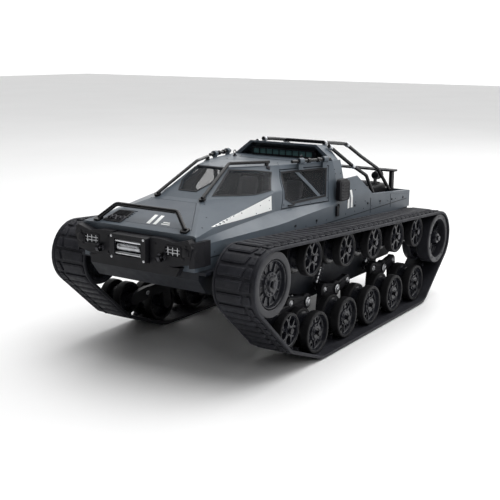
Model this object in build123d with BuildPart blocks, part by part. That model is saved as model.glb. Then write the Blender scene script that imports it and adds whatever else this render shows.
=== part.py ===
from build123d import *
import math
import os

# Small-scale tracked vehicle. Millimetres, +Z up, ground at Z = 0.
# The vehicle faces -Y, and +X is its left side. Every side piece is drawn
# on the left and mirrored in the YZ plane for the right.

os.makedirs("parts", exist_ok=True)

# ---------------------------------------------------------------- driving dimensions
TRACK_INNER = 71.0
TRACK_OUTER = 113.0
BAND_T = 1.6
PAD_H = 1.8
LINK_COUNT = 84
BELT_GAP = 0.3
LUG_WIDTH = 5.0
LUG_HEIGHT = 3.2
BELT_T = BAND_T + PAD_H

WHEEL_IN = 79.0
WHEEL_OUT = 105.0
DRUM_OUT = 111.5
GROOVE_WIDTH = 9.0
GROOVE_DEPTH = 4.6
GROOVE_X = (WHEEL_IN + WHEEL_OUT) / 2

ROAD_R = 20.0
ROAD_Z = ROAD_R + BELT_GAP + BELT_T
ROAD_Y = [-75.7, -17.9, 34.6, 89.3, 144.1]
ROLLER_R = 16.6
ROLLER_Y = [-87.4, -22.2, 36.4, 89.8, 140.7]
TENSION_R = 16.0
TENSION = (-125.6, 38.5)
DRUM_R = 28.0
DRUM = (-164.0, 89.3)
IDLER_R = 28.0
IDLER = (186.6, 68.2)

HULL_X = 60.0
HULL_WALL = 2.5
DECK_Z = 100.0
AXLE_R = 2.0
RUN_CLEAR = 0.08
ARM_IN = 72.0
ARM_OUT = 77.5
FRONT_ARM_PIVOT = (-50.0, 43.0)
PIVOT_Z = 43.0
PIVOT_R = 3.0
SHOCK_X = 66.0
EYE_PIN_R = 1.5

SHELL_T = 2.0
SILL_OPEN = 5.0
WALL_X = 69.0
NOSE_Y = -204.0
TAIL_Y = 198.0
TUBE_R = 1.9
FRONT_Y = -218.2


# ---------------------------------------------------------------- helpers
def save(piece, name):
    piece.label = name
    export_step(piece, "parts/" + name + ".step")


def save_pair(piece, name):
    save(piece, name + "_left")
    save(piece.mirror(Plane.YZ), name + "_right")


def side_plane(x, at=(0.0, 0.0)):
    """Plane that faces +X; its own axes run along +Y and +Z from the point at = (y, z)."""
    return Plane(origin=(x, at[0], at[1]), x_dir=(0, 1, 0), z_dir=(1, 0, 0))


def station_plane(y):
    """Plane across the vehicle; its own axes run along +X and +Z."""
    return Plane(origin=(0, y, 0), x_dir=(1, 0, 0), z_dir=(0, -1, 0))


def plane_through(a, b, c):
    """Plane through three points, facing away from the vehicle's middle."""
    normal = (Vector(*b) - Vector(*a)).cross(Vector(*c) - Vector(*a))
    if normal.Z < 0:
        normal = normal * -1
    return Plane(origin=a, x_dir=Vector(*b) - Vector(*a), z_dir=normal)


def flat(plane, points):
    """The points' own coordinates in a plane."""
    local = [plane.to_local_coords(Vector(*p)) for p in points]
    return [(v.X, v.Y) for v in local]


def outline(points):
    """Closed face in the current sketch."""
    with BuildLine() as edge:
        Polyline(*points, close=True)
    make_face(edge.line)


def bar(p, q, width):
    """Round-ended bar from p to q in the current sketch."""
    length = math.dist(p, q)
    angle = math.degrees(math.atan2(q[1] - p[1], q[0] - p[0]))
    middle = ((p[0] + q[0]) / 2, (p[1] + q[1]) / 2)
    with Locations(Location(middle, angle)):
        Rectangle(length, width)
    with Locations(p, q):
        Circle(width / 2)


def disc(x, at, radius, length):
    """Round boss or pin along X from x, added to the current part."""
    with BuildSketch(side_plane(x, at)) as circle:
        Circle(radius)
    extrude(circle.sketch, amount=length)


def mirrored(points):
    return [(-x, y, z) for x, y, z in reversed(points)]


# ---------------------------------------------------------------- track belt
def tangent(a, b):
    """Outer tangent points of two circles (y, z, r) that a belt runs around clockwise."""
    dy = b[0] - a[0]
    dz = b[1] - a[1]
    gap = math.hypot(dy, dz)
    turn = math.atan2(dz, dy) + math.acos((a[2] - b[2]) / gap)
    away = (math.cos(turn), math.sin(turn))
    start = (a[0] + a[2] * away[0], a[1] + a[2] * away[1])
    end = (b[0] + b[2] * away[0], b[1] + b[2] * away[1])
    return start, end, turn


def roller_z(y):
    """Height of a return roller that just carries the straight upper run."""
    start, end, turn = tangent((DRUM[0], DRUM[1], DRUM_R), (IDLER[0], IDLER[1], IDLER_R))
    share = (y - start[0]) / (end[0] - start[0])
    return start[1] + share * (end[1] - start[1]) - ROLLER_R


def belt_circles(extra):
    """The wheels that shape the belt, in running order, each grown by extra."""
    wheels = [(DRUM[0], DRUM[1], DRUM_R), (IDLER[0], IDLER[1], IDLER_R)]
    wheels += [(y, ROAD_Z, ROAD_R) for y in (ROAD_Y[-1], ROAD_Y[0])]
    wheels += [(TENSION[0], TENSION[1], TENSION_R)]
    return [(y, z, r + extra) for y, z, r in wheels]


def belt_spans(extra):
    """Straight runs and arcs of the belt's path, each with its length."""
    circles = belt_circles(extra)
    runs = [tangent(c, circles[(i + 1) % len(circles)]) for i, c in enumerate(circles)]
    spans = []
    for i, (start, end, turn) in enumerate(runs):
        spans.append(("run", start, end, turn, math.dist(start, end)))
        y, z, r = circles[(i + 1) % len(circles)]
        sweep = (turn - runs[(i + 1) % len(runs)][2]) % (2 * math.pi)
        spans.append(("arc", (y, z), r, turn, r * sweep))
    return spans


def belt_point(spans, s):
    """Point of the path at arc length s, with the outward angle there."""
    for kind, a, b, turn, length in spans:
        if s <= length:
            break
        s -= length
    if kind == "run":
        t = s / length
        return (a[0] + t * (b[0] - a[0]), a[1] + t * (b[1] - a[1])), turn
    angle = turn - s / b
    return (a[0] + b * math.cos(angle), a[1] + b * math.sin(angle)), angle


def belt_face(extra):
    """Area inside the belt's path, in the current sketch."""
    spans = belt_spans(extra)
    with BuildLine() as path:
        for kind, a, b, turn, length in spans:
            if kind == "run":
                Line(a, b)
            else:
                angles = [turn - share * length / b for share in (0, 0.5, 1)]
                ThreePointArc(*[(a[0] + b * math.cos(t), a[1] + b * math.sin(t)) for t in angles])
    make_face(path.line)


def blocks_along(extra, count, size, height, shift=0.0):
    """Blocks set across the path at equal spacing, centred at a height over it."""
    spans = belt_spans(extra)
    total = sum(span[4] for span in spans)
    for i in range(count):
        (y, z), angle = belt_point(spans, (i + shift) * total / count)
        spot = (y + height * math.cos(angle), z + height * math.sin(angle))
        with Locations(Location(spot, math.degrees(angle) - 90)):
            Rectangle(*size)


with BuildPart() as track_belt:
    with BuildSketch(side_plane(TRACK_INNER)):
        belt_face(BELT_GAP + BAND_T)
        blocks_along(BELT_GAP + BAND_T, LINK_COUNT, (8.6, PAD_H + 0.8), PAD_H / 2 - 0.4)
        with BuildSketch(mode=Mode.PRIVATE) as inside:
            belt_face(BELT_GAP)
        add(inside.sketch, mode=Mode.SUBTRACT)
    extrude(amount=TRACK_OUTER - TRACK_INNER)
    with BuildSketch(side_plane(GROOVE_X - LUG_WIDTH / 2)):
        blocks_along(BELT_GAP, LINK_COUNT, (4.0, LUG_HEIGHT + 0.6), 0.3 - LUG_HEIGHT / 2, 0.5)
    extrude(amount=LUG_WIDTH)
save_pair(track_belt.part, "track_belt")


# ---------------------------------------------------------------- wheels
def wheel_blank(at, radius, out=WHEEL_OUT):
    """Solid tyre with the groove that the belt's guide lugs run in."""
    with BuildSketch(side_plane(WHEEL_IN, at)) as tyre:
        Circle(radius)
    extrude(tyre.sketch, amount=out - WHEEL_IN)
    edges = faces().filter_by(Axis.X).edges().filter_by(GeomType.CIRCLE)
    chamfer(edges, 0.6)
    with BuildSketch(side_plane(GROOVE_X - GROOVE_WIDTH / 2, at)) as groove:
        Circle(radius)
        Circle(radius - GROOVE_DEPTH, mode=Mode.SUBTRACT)
    extrude(groove.sketch, amount=GROOVE_WIDTH, mode=Mode.SUBTRACT)


def sink(at, x, depth, outer, inner=0.0):
    """Round pocket cut inboard from x."""
    with BuildSketch(side_plane(x, at)) as pocket:
        Circle(outer)
        if inner > 0:
            Circle(inner, mode=Mode.SUBTRACT)
    extrude(pocket.sketch, amount=-depth, mode=Mode.SUBTRACT)


def bore(at):
    with BuildSketch(side_plane(WHEEL_IN - 1, at)) as hole:
        Circle(AXLE_R + RUN_CLEAR)
    extrude(hole.sketch, amount=DRUM_OUT - WHEEL_IN + 2, mode=Mode.SUBTRACT)


def bolt_ring(at, x, ring_radius, count, bolt_radius, height):
    with BuildSketch(side_plane(x, at)) as heads:
        with PolarLocations(ring_radius, count):
            RegularPolygon(bolt_radius, 6)
    extrude(heads.sketch, amount=height)


def road_wheel(at):
    """Large road wheel: deep dish, stepped disc with eight pockets and a bolted hub."""
    with BuildPart() as wheel:
        wheel_blank(at, ROAD_R)
        sink(at, WHEEL_IN + 7, 8, ROAD_R - 3.2, 6.0)
        sink(at, WHEEL_OUT, 2.4, ROAD_R - 3.0)
        sink(at, WHEEL_OUT - 2.4, 2.2, ROAD_R - 4.4, 8.2)
        with BuildSketch(side_plane(WHEEL_OUT - 4.6, at)):
            with PolarLocations(12.0, 8):
                Circle(1.7)
        extrude(amount=-2.2, mode=Mode.SUBTRACT)
        with BuildSketch(side_plane(WHEEL_OUT - 2.4, at)):
            Circle(6.6)
        extrude(amount=1.2)
        bolt_ring(at, WHEEL_OUT - 2.4, 7.4, 8, 0.75, 0.5)
        bore(at)
    return wheel.part


def spoked_wheel(at, radius):
    """Small wheel: thin ring carried by five forked spokes."""
    with BuildPart() as wheel:
        wheel_blank(at, radius)
        sink(at, WHEEL_IN + 7, 8, radius - 2.6, 5.0)
        sink(at, WHEEL_OUT, 5.5, radius - 2.0)
        with BuildSketch(side_plane(WHEEL_OUT - 5.5, at)):
            Circle(4.6)
            rim = radius - 1.6
            for k in range(5):
                turn = math.radians(90 + 72 * k)
                fork = (7.6 * math.cos(turn), 7.6 * math.sin(turn))
                bar((0, 0), fork, 3.0)
                for spread in (-0.30, 0.30):
                    bar(fork, (rim * math.cos(turn + spread), rim * math.sin(turn + spread)), 1.8)
        extrude(amount=4.2)
        with BuildSketch(side_plane(WHEEL_OUT - 1.3, at)):
            Circle(3.6)
        extrude(amount=1.0)
        bore(at)
    return wheel.part


def drive_drum():
    """Front drive drum: stepped dish, raised ring and a twelve-bolt hub."""
    with BuildPart() as drum:
        wheel_blank(DRUM, DRUM_R, DRUM_OUT)
        sink(DRUM, WHEEL_IN + 7, 8, DRUM_R - 6.5, 8.0)
        sink(DRUM, DRUM_OUT, 2.0, DRUM_R - 7.0)
        sink(DRUM, DRUM_OUT - 2.0, 3.0, DRUM_R - 8.6)
        with BuildSketch(side_plane(DRUM_OUT - 2.0, DRUM)):
            Circle(DRUM_R - 7.4)
            Circle(DRUM_R - 8.6, mode=Mode.SUBTRACT)
        extrude(amount=1.2)
        with BuildSketch(side_plane(DRUM_OUT - 5.0, DRUM)):
            Circle(10.5)
        extrude(amount=2.4)
        with BuildSketch(side_plane(DRUM_OUT - 5.0, DRUM)):
            Circle(6.4)
        extrude(amount=4.6)
        bolt_ring(DRUM, DRUM_OUT - 2.6, 8.4, 12, 0.9, 0.7)
        bolt_ring(DRUM, DRUM_OUT - 5.0, 14.8, 6, 0.9, 0.6)
        bore(DRUM)
    return drum.part


def idler_drum():
    """Rear idler: open ring flange around a deep recess, with small screws."""
    with BuildPart() as drum:
        wheel_blank(IDLER, IDLER_R, DRUM_OUT)
        sink(IDLER, WHEEL_IN + 7, 8, IDLER_R - 6.5, 8.0)
        sink(IDLER, DRUM_OUT, 11.0, IDLER_R - 6.4)
        with BuildSketch(side_plane(DRUM_OUT - 11.0, IDLER)):
            Circle(7.0)
            for k in range(6):
                turn = math.radians(30 + 60 * k)
                bar((0, 0), ((IDLER_R - 7) * math.cos(turn), (IDLER_R - 7) * math.sin(turn)), 3.4)
        extrude(amount=3.0)
        with BuildSketch(side_plane(DRUM_OUT - 8.0, IDLER)):
            Circle(5.2)
        extrude(amount=7.6)
        bolt_ring(IDLER, DRUM_OUT, IDLER_R - 3.2, 10, 0.9, 0.5)
        bore(IDLER)
    return drum.part


save_pair(drive_drum(), "drive_drum")
save_pair(idler_drum(), "idler_drum")
save_pair(spoked_wheel(TENSION, TENSION_R), "tension_wheel")
for number, y in enumerate(ROAD_Y, start=1):
    save_pair(road_wheel((y, ROAD_Z)), "road_wheel_" + str(number))
for number, y in enumerate(ROLLER_Y, start=1):
    save_pair(spoked_wheel((y, roller_z(y)), ROLLER_R), "return_roller_" + str(number))


# ---------------------------------------------------------------- suspension arms
def stub_axle(at, start_x):
    """Axle through a wheel, with a washer behind it and a cap nut outside."""
    disc(start_x, at, AXLE_R, WHEEL_OUT - start_x + 0.4)
    disc(start_x, at, 3.6, WHEEL_IN - 0.3 - start_x)
    with BuildSketch(side_plane(WHEEL_OUT + 0.3, at)) as nut:
        RegularPolygon(3.0, 6)
    extrude(nut.sketch, amount=1.7)


def suspension_arm(pivot, wheels, lobes):
    """Plate that rocks on a pivot, with stub axles and a pin for the shock absorber's lower eye."""
    with BuildPart() as arm:
        with BuildSketch(side_plane(ARM_IN)):
            for wheel, lobe in zip(wheels, lobes):
                bar(wheel, lobe, 12.0)
                bar(lobe, pivot, 11.0)
            with Locations(pivot):
                Circle(8.0)
        extrude(amount=ARM_OUT - ARM_IN)
        chamfer(arm.faces().sort_by(Axis.X)[-1].outer_wire().edges(), 0.8)
        for wheel in wheels:
            stub_axle(wheel, ARM_IN)
        disc(ARM_IN, lobes[0], EYE_PIN_R, SHOCK_X - 2.4 - ARM_IN)
        with BuildSketch(side_plane(ARM_IN - 1, pivot)):
            Circle(PIVOT_R + RUN_CLEAR)
        extrude(amount=ARM_OUT - ARM_IN + 2, mode=Mode.SUBTRACT)
    return arm.part


FIRST_WHEEL = (ROAD_Y[0], ROAD_Z)
FIRST_LOBES = [(ROAD_Y[0] - 4, 48.0), (TENSION[0] + 18, 41.0)]
save_pair(suspension_arm(FRONT_ARM_PIVOT, [FIRST_WHEEL, TENSION], FIRST_LOBES), "front_arm")
SHOCK_FEET = [FIRST_LOBES[0]]
for name, first in (("front_bogie", 1), ("rear_bogie", 3)):
    pair = [(y, ROAD_Z) for y in ROAD_Y[first:first + 2]]
    middle = ((pair[0][0] + pair[1][0]) / 2, PIVOT_Z)
    tops = [(pair[0][0] + 3, 47.0), (pair[1][0] - 3, 47.0)]
    save_pair(suspension_arm(middle, pair, tops), name)
    SHOCK_FEET.append(tops[0])

COLLAR_R = 3.2
FIXED_AXLES = [DRUM, IDLER] + [(y, roller_z(y)) for y in ROLLER_Y]
PIVOTS = [FRONT_ARM_PIVOT]
PIVOTS += [((ROAD_Y[i] + ROAD_Y[i + 1]) / 2, PIVOT_Z) for i in (1, 3)]


def axle_set(side):
    """Fixed axles and pivot bolts of one side, each a separate solid."""
    for at in FIXED_AXLES:
        end = DRUM_OUT - 0.5 if at in (DRUM, IDLER) else WHEEL_OUT
        disc(side * HULL_X, at, AXLE_R, side * (end - HULL_X + 0.4))
        disc(side * HULL_X, at, COLLAR_R, side * (WHEEL_IN - 0.4 - HULL_X))
        disc(side * (end + 0.3), at, 2.8, side * 1.7)
    for at in PIVOTS:
        disc(side * HULL_X, at, 5.4, side * (ARM_IN - 0.3 - HULL_X))
        disc(side * HULL_X, at, PIVOT_R, side * (ARM_OUT - HULL_X + 0.4))
        disc(side * (ARM_OUT + 0.3), at, 5.0, side * 0.9)


with BuildPart() as axle_pins:
    axle_set(1)
    axle_set(-1)
save(axle_pins.part, "axle_pins")

# ---------------------------------------------------------------- lower hull
RAIL = (36.5, 49.0)
HULL_SIDE = [(-198, DECK_Z), (-198, 92), (-188, 79), (-94, 47), (164, 47), (195, 62), (195, DECK_Z)]
FLANGE_T = 2.5
with BuildPart() as lower_hull:
    with BuildSketch(side_plane(-HULL_X)):
        outline(HULL_SIDE)
    extrude(amount=2 * HULL_X)
    with BuildSketch(side_plane(-HULL_X + HULL_WALL)):
        outline(HULL_SIDE)
        offset(amount=-HULL_WALL, kind=Kind.INTERSECTION)
        with Locations((0, DECK_Z)):
            Rectangle(388, 12)
    extrude(amount=2 * (HULL_X - HULL_WALL), mode=Mode.SUBTRACT)
    with BuildSketch(Plane.XY.offset(DECK_Z - FLANGE_T)):
        with Locations((0, (TAIL_Y + NOSE_Y) / 2)):
            Rectangle(2 * WALL_X - 1, TAIL_Y - NOSE_Y - 8)
            Rectangle(2 * (HULL_X - 1), TAIL_Y - NOSE_Y - 20, mode=Mode.SUBTRACT)
    extrude(amount=FLANGE_T)
    for side in (1, -1):
        with BuildSketch(side_plane(side * HULL_X)) as rail:
            outline([(-62, RAIL[0] + 4), (-58, RAIL[0]), (128, RAIL[0]), (134, RAIL[0] + 4),
                     (134, RAIL[1]), (-62, RAIL[1])])
        extrude(rail.sketch, amount=side * -7)
        for at in FIXED_AXLES:
            with BuildSketch(side_plane(side * HULL_X, at)) as saddle:
                Circle(COLLAR_R + 0.3)
            extrude(saddle.sketch, amount=side * 10, mode=Mode.SUBTRACT)
    for y in (-60, 0, 60, 120):
        with BuildSketch(side_plane(-HULL_X + 1)) as rib:
            with Locations((y, 49.4)):
                Rectangle(4, 4)
        extrude(rib.sketch, amount=2 * HULL_X - 2)
save(lower_hull.part, "lower_hull")

# ---------------------------------------------------------------- shock absorbers
SHOCK_RISE = (20.0, 38.0)


def shock(side, low, high):
    """Coil-over damper between its two eyes, leaning in the YZ plane."""
    lean = Vector(0, high[0] - low[0], high[1] - low[1])
    base = Plane(origin=(side * SHOCK_X, low[0], low[1]), x_dir=(1, 0, 0), z_dir=lean)
    for start, end, radius in ((0, 1, 1.2), (0.08, 0.18, 3.4), (0.18, 0.72, 2.6), (0.72, 0.92, 3.4)):
        with BuildSketch(base.offset(start * lean.length)) as tube:
            Circle(radius)
        extrude(tube.sketch, amount=(end - start) * lean.length)
    turns = 7
    for k in range(turns):
        with BuildSketch(base.offset((0.19 + 0.5 * k / turns) * lean.length)) as coil:
            Circle(3.5)
        extrude(coil.sketch, amount=1.1)
    for eye in (low, high):
        disc(side * (SHOCK_X - 2), eye, 2.8, side * 4)
    with BuildSketch(side_plane(side * (SHOCK_X - 3), low)) as eye_hole:
        Circle(EYE_PIN_R + RUN_CLEAR)
    extrude(eye_hole.sketch, amount=side * 6, mode=Mode.SUBTRACT)
    disc(side * HULL_X, high, 1.6, side * (SHOCK_X - HULL_X))


with BuildPart() as shock_absorbers:
    for side in (1, -1):
        for foot in SHOCK_FEET:
            shock(side, foot, (foot[0] + SHOCK_RISE[0], foot[1] + SHOCK_RISE[1]))
save(shock_absorbers.part, "shock_absorbers")

# ---------------------------------------------------------------- bodyshell
# Named corners of the left half of the faceted body.
NOSE = (62.0, NOSE_Y, 130.5)
COWL = (24.5, -144.4, 148.4)
SCREEN_TOP = (17.0, -96.0, 171.7)
PILLAR_TOP = (41.0, -45.0, 170.3)

# Half sections (x, z) from the sill up: sill, wall top, shoulder, hip, cowl line, roof edge.
STATIONS = [
    (NOSE_Y, [(60.5, DECK_Z), (61.6, 122.0), (61.9, 126.5), (62.0, 129.3), (61.0, 130.2), (59.5, 130.5)]),
    (COWL[1], [(66.0, DECK_Z), (65.9, 122.3), (58.9, 129.0), (57.9, 138.4), (25.7, 147.9), (24.5, 148.4)]),
    (-96.0, [(69.0, DECK_Z), (68.9, 122.6), (56.5, 130.5), (55.3, 146.2), (44.8, 149.2), (17.0, 171.7)]),
    (-74.0, [(69.0, DECK_Z), (68.9, 122.9), (55.6, 131.3), (54.0, 148.8), (53.4, 149.8), (27.4, 171.1)]),
    (-45.0, [(69.0, DECK_Z), (68.9, 124.5), (59.0, 131.1), (51.9, 147.3), (51.1, 149.0), (41.0, 170.3)]),
    (26.0, [(69.0, DECK_Z), (68.98, 127.0), (68.9, 129.6), (64.7, 148.0), (64.3, 149.6), (60.0, 168.5)]),
    (TAIL_Y, [(69.0, DECK_Z), (68.98, 127.0), (68.9, 129.6), (64.7, 148.0), (64.3, 149.6), (60.0, 166.0)]),
]


def section(half, inset, drop):
    """Full section from a half section, moved in by inset and down by drop."""
    inner = [(x - inset, z - drop) for x, z in half]
    if drop > 0:
        inner[0] = (inner[1][0], half[0][1] - SILL_OPEN)
    return inner + [(-x, z) for x, z in reversed(inner)]


def body_loft(stations, inset=0.0, drop=0.0):
    rings = []
    for y, half in stations:
        with BuildSketch(station_plane(y)) as ring:
            outline(section(half, inset, drop))
        rings.append(ring.sketch.face())
    loft(rings, ruled=True)


SIDE_CUT = [(50, 200), (50, 168), (71, 150), (101, 126.5), (TAIL_Y + 5, 118.2), (TAIL_Y + 5, 200)]
CABIN_REAR = 40.0
BED_FLOOR = 105.0
FAIRING_FRONT = [(-60.0, 168.3), (-40.0, 183.4), (40.0, 183.4), (60.0, 168.3)]
FAIRING_REAR = [(-57.0, 160.0), (-38.0, 180.4), (38.0, 180.4), (57.0, 160.0)]
FAIRING_MOUTH = [(-55.0, 167.0), (-38.0, 181.4), (38.0, 181.4), (55.0, 167.0)]

SCREEN_PLANE = plane_through(COWL, SCREEN_TOP, (-COWL[0], COWL[1], COWL[2]))
CENTRE_PANE = [(15.2, -98.5, 170.5), (15.6, -120.0, 160.2), (9.0, -133.5, 153.7)]
CENTRE_PANE = CENTRE_PANE + mirrored(CENTRE_PANE)
QUARTER_PLANE = plane_through(COWL, SCREEN_TOP, PILLAR_TOP)
QUARTER_PANE = [(20.2, -97.2, 168.9), (41.0, -59.5, 165.1), (50.4, -76.0, 151.5),
                (45.5, -95.0, 148.9), (27.0, -130.5, 151.2)]
DOOR = [(-66, 131.8), (8.6, 130.4), (19.5, 165.0), (-47.0, 166.4)]
DOOR_WINDOW = [(-54.0, 141.5), (-45.5, 136.6), (4.0, 137.6), (13.0, 161.5), (-45.5, 162.5)]
HOOD = [(52.0, -196.5), (22.5, -150.5), (-22.5, -150.5), (-52.0, -196.5)]


def pane_cut(plane, points):
    """Window opening cut square to its plane."""
    with BuildSketch(plane.offset(-8)) as pane:
        outline(flat(plane, points))
    extrude(pane.sketch, amount=16, mode=Mode.SUBTRACT)


def mirror_plane(plane):
    """Mirror image of a plane in the vehicle's middle."""
    o = plane.origin
    x = plane.x_dir
    z = plane.z_dir
    return Plane(origin=(-o.X, o.Y, o.Z), x_dir=(-x.X, x.Y, x.Z), z_dir=(-z.X, z.Y, z.Z))


with BuildPart() as room:
    body_loft(STATIONS, SHELL_T, SHELL_T)
    with BuildSketch(side_plane(-80)):
        outline([(NOSE_Y - 5, 80), (NOSE_Y + SHELL_T, 80), (NOSE_Y + SHELL_T, 200), (NOSE_Y - 5, 200)])
        outline([(CABIN_REAR, 80), (TAIL_Y + 5, 80), (TAIL_Y + 5, 200), (CABIN_REAR, 200)])
    extrude(amount=160, mode=Mode.SUBTRACT)

with BuildPart() as fairing:
    with BuildSketch(station_plane(27.0)):
        outline(FAIRING_FRONT)
    with BuildSketch(station_plane(54.0)):
        outline(FAIRING_REAR)
    loft(ruled=True)
    with BuildSketch(station_plane(26.0)):
        outline(FAIRING_MOUTH)
    extrude(amount=-12, mode=Mode.SUBTRACT)

with BuildPart() as shell:
    body_loft(STATIONS)
    with BuildSketch(side_plane(-80)):
        outline(SIDE_CUT)
    extrude(amount=160, mode=Mode.SUBTRACT)
    add(room.part, mode=Mode.SUBTRACT)
    bed_length = TAIL_Y - CABIN_REAR - 2 * SHELL_T
    for z_low, z_high in ((DECK_Z - 1, BED_FLOOR - SHELL_T), (BED_FLOOR, 200)):
        with BuildSketch(Plane.XY.offset(z_low)):
            with Locations((0, CABIN_REAR + SHELL_T + bed_length / 2)):
                Rectangle(2 * (WALL_X - SHELL_T - 2.6), bed_length)
        extrude(amount=z_high - z_low, mode=Mode.SUBTRACT)
    add(fairing.part)
    pane_cut(SCREEN_PLANE, CENTRE_PANE)
    pane_cut(QUARTER_PLANE, QUARTER_PANE)
    pane_cut(mirror_plane(QUARTER_PLANE), [(-x, y, z) for x, y, z in QUARTER_PANE])

# ---------------------------------------------------------------- doors, hood and glass
GAP = 0.4
DOOR_GAP = 0.95
HINGE_A = (49.3, -30.0, 172.8)
HINGE_B = (60.9, 19.0, 171.6)
HINGE_R = 1.6
HINGE_LINE = Vector(*HINGE_B) - Vector(*HINGE_A)
HINGE_PLANE = Plane(origin=HINGE_A, x_dir=(0, 0, 1), z_dir=HINGE_LINE)
KNUCKLES = (0.10, 0.78)
KNUCKLE_LENGTH = 6.0


def door_part(points, shrink):
    """The piece of the shell's left wall inside an outline, shrunk to leave a gap."""
    with BuildSketch(side_plane(30)) as area:
        outline(points)
        offset(amount=-shrink, kind=Kind.INTERSECTION)
    extrude(area.sketch, amount=45, mode=Mode.INTERSECT)


STRUT = ((-27.0, 163.5), (-3.0, 136.0))
STRUT_WIDTH = 3.6
with BuildPart() as brace:
    add(shell.part)
    with BuildSketch(side_plane(30)) as strut:
        bar(*STRUT, STRUT_WIDTH)
    extrude(strut.sketch, amount=45, mode=Mode.INTERSECT)

with BuildPart() as door:
    add(shell.part)
    door_part(DOOR, DOOR_GAP)
    with BuildSketch(side_plane(30)) as window:
        outline(DOOR_WINDOW)
    extrude(window.sketch, amount=45, mode=Mode.SUBTRACT)
    add(brace.part)
    for share in KNUCKLES:
        start = HINGE_PLANE.offset(share * HINGE_LINE.length)
        with BuildSketch(start) as knuckle:
            Circle(HINGE_R + 1.5)
            with Locations((-4.2, -0.4)):
                Rectangle(8.4, 2.4)
            Circle(HINGE_R + 0.1, mode=Mode.SUBTRACT)
        extrude(knuckle.sketch, amount=KNUCKLE_LENGTH)
save_pair(door.part, "door")

with BuildPart() as door_glass:
    add(shell.part)
    door_part(DOOR_WINDOW, 0.15)
    with BuildSketch(side_plane(30)) as strut_gap:
        bar(*STRUT, STRUT_WIDTH + 0.3)
    extrude(strut_gap.sketch, amount=45, mode=Mode.SUBTRACT)
save_pair(door_glass.part, "door_glass")

with BuildPart() as hood_panel:
    add(shell.part)
    with BuildSketch(Plane.XY.offset(125)) as area:
        outline(HOOD)
        offset(amount=-GAP, kind=Kind.INTERSECTION)
    extrude(area.sketch, amount=40, mode=Mode.INTERSECT)
    with BuildSketch(Plane.XY.offset(125)) as vents:
        with Locations((-29, -184)):
            with GridLocations(0, 3.0, 1, 5):
                SlotOverall(16, 1.4)
    extrude(vents.sketch, amount=40, mode=Mode.SUBTRACT)
save(hood_panel.part, "hood_panel")

with BuildPart() as body_shell:
    add(shell.part)
    with BuildSketch(side_plane(30)) as opening:
        outline(DOOR)
    extrude(opening.sketch, amount=45, mode=Mode.SUBTRACT)
    with BuildSketch(side_plane(-30)) as opening:
        outline(DOOR)
    extrude(opening.sketch, amount=-45, mode=Mode.SUBTRACT)
    with BuildSketch(Plane.XY.offset(125)) as area:
        outline(HOOD)
    extrude(area.sketch, amount=40, mode=Mode.SUBTRACT)
save(body_shell.part, "body_shell")


def pane(plane, points, gap):
    """Glass pane set just under a window's outer face."""
    with BuildSketch(plane.offset(-1.6)) as glass:
        outline(flat(plane, points))
        offset(amount=-gap, kind=Kind.INTERSECTION)
    extrude(glass.sketch, amount=1.2)


with BuildPart() as windscreen:
    pane(SCREEN_PLANE, CENTRE_PANE, 0.15)
    pane(QUARTER_PLANE, QUARTER_PANE, 0.15)
    pane(mirror_plane(QUARTER_PLANE), [(-x, y, z) for x, y, z in QUARTER_PANE], 0.15)
save(windscreen.part, "windscreen")

# ---------------------------------------------------------------- cab interior
CAB_FLOOR = 108.0
with BuildPart() as cab_interior:
    with BuildSketch(Plane.XY.offset(CAB_FLOOR)) as floor:
        with Locations((0, -18)):
            Rectangle(128, 108)
    extrude(floor.sketch, amount=2)
    for x in (-27, 27):
        with BuildSketch(Plane.XY.offset(CAB_FLOOR + 2)) as cushion:
            with Locations((x, -14)):
                RectangleRounded(26, 28, 4)
        extrude(cushion.sketch, amount=9)
        with BuildSketch(side_plane(x - 12)) as backrest:
            outline([(-4, 117), (6, 117), (15, 150), (8, 150)])
        extrude(backrest.sketch, amount=24)
        with BuildSketch(side_plane(x - 7)) as headrest:
            outline([(9, 150), (14, 150), (16, 158), (11, 158)])
        extrude(headrest.sketch, amount=14)
    with BuildSketch(side_plane(-44)) as dash:
        outline([(-70, 110), (-54, 110), (-54, 126), (-58, 132), (-70, 134)])
    extrude(dash.sketch, amount=88)
    column = Plane(origin=(27, -54, 126), x_dir=(1, 0, 0), z_dir=(0, 1, 0.45))
    with BuildSketch(column.offset(-6)) as stem:
        Circle(1.4)
    extrude(stem.sketch, amount=16)
    with BuildSketch(column.offset(8)) as wheel_rim:
        Circle(8.5)
        Circle(6.7, mode=Mode.SUBTRACT)
        for turn in (0, 120, 240):
            bar((0, 0), (7.4 * math.cos(math.radians(turn)), 7.4 * math.sin(math.radians(turn))), 1.6)
    extrude(wheel_rim.sketch, amount=1.6)
save(cab_interior.part, "cab_interior")

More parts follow.
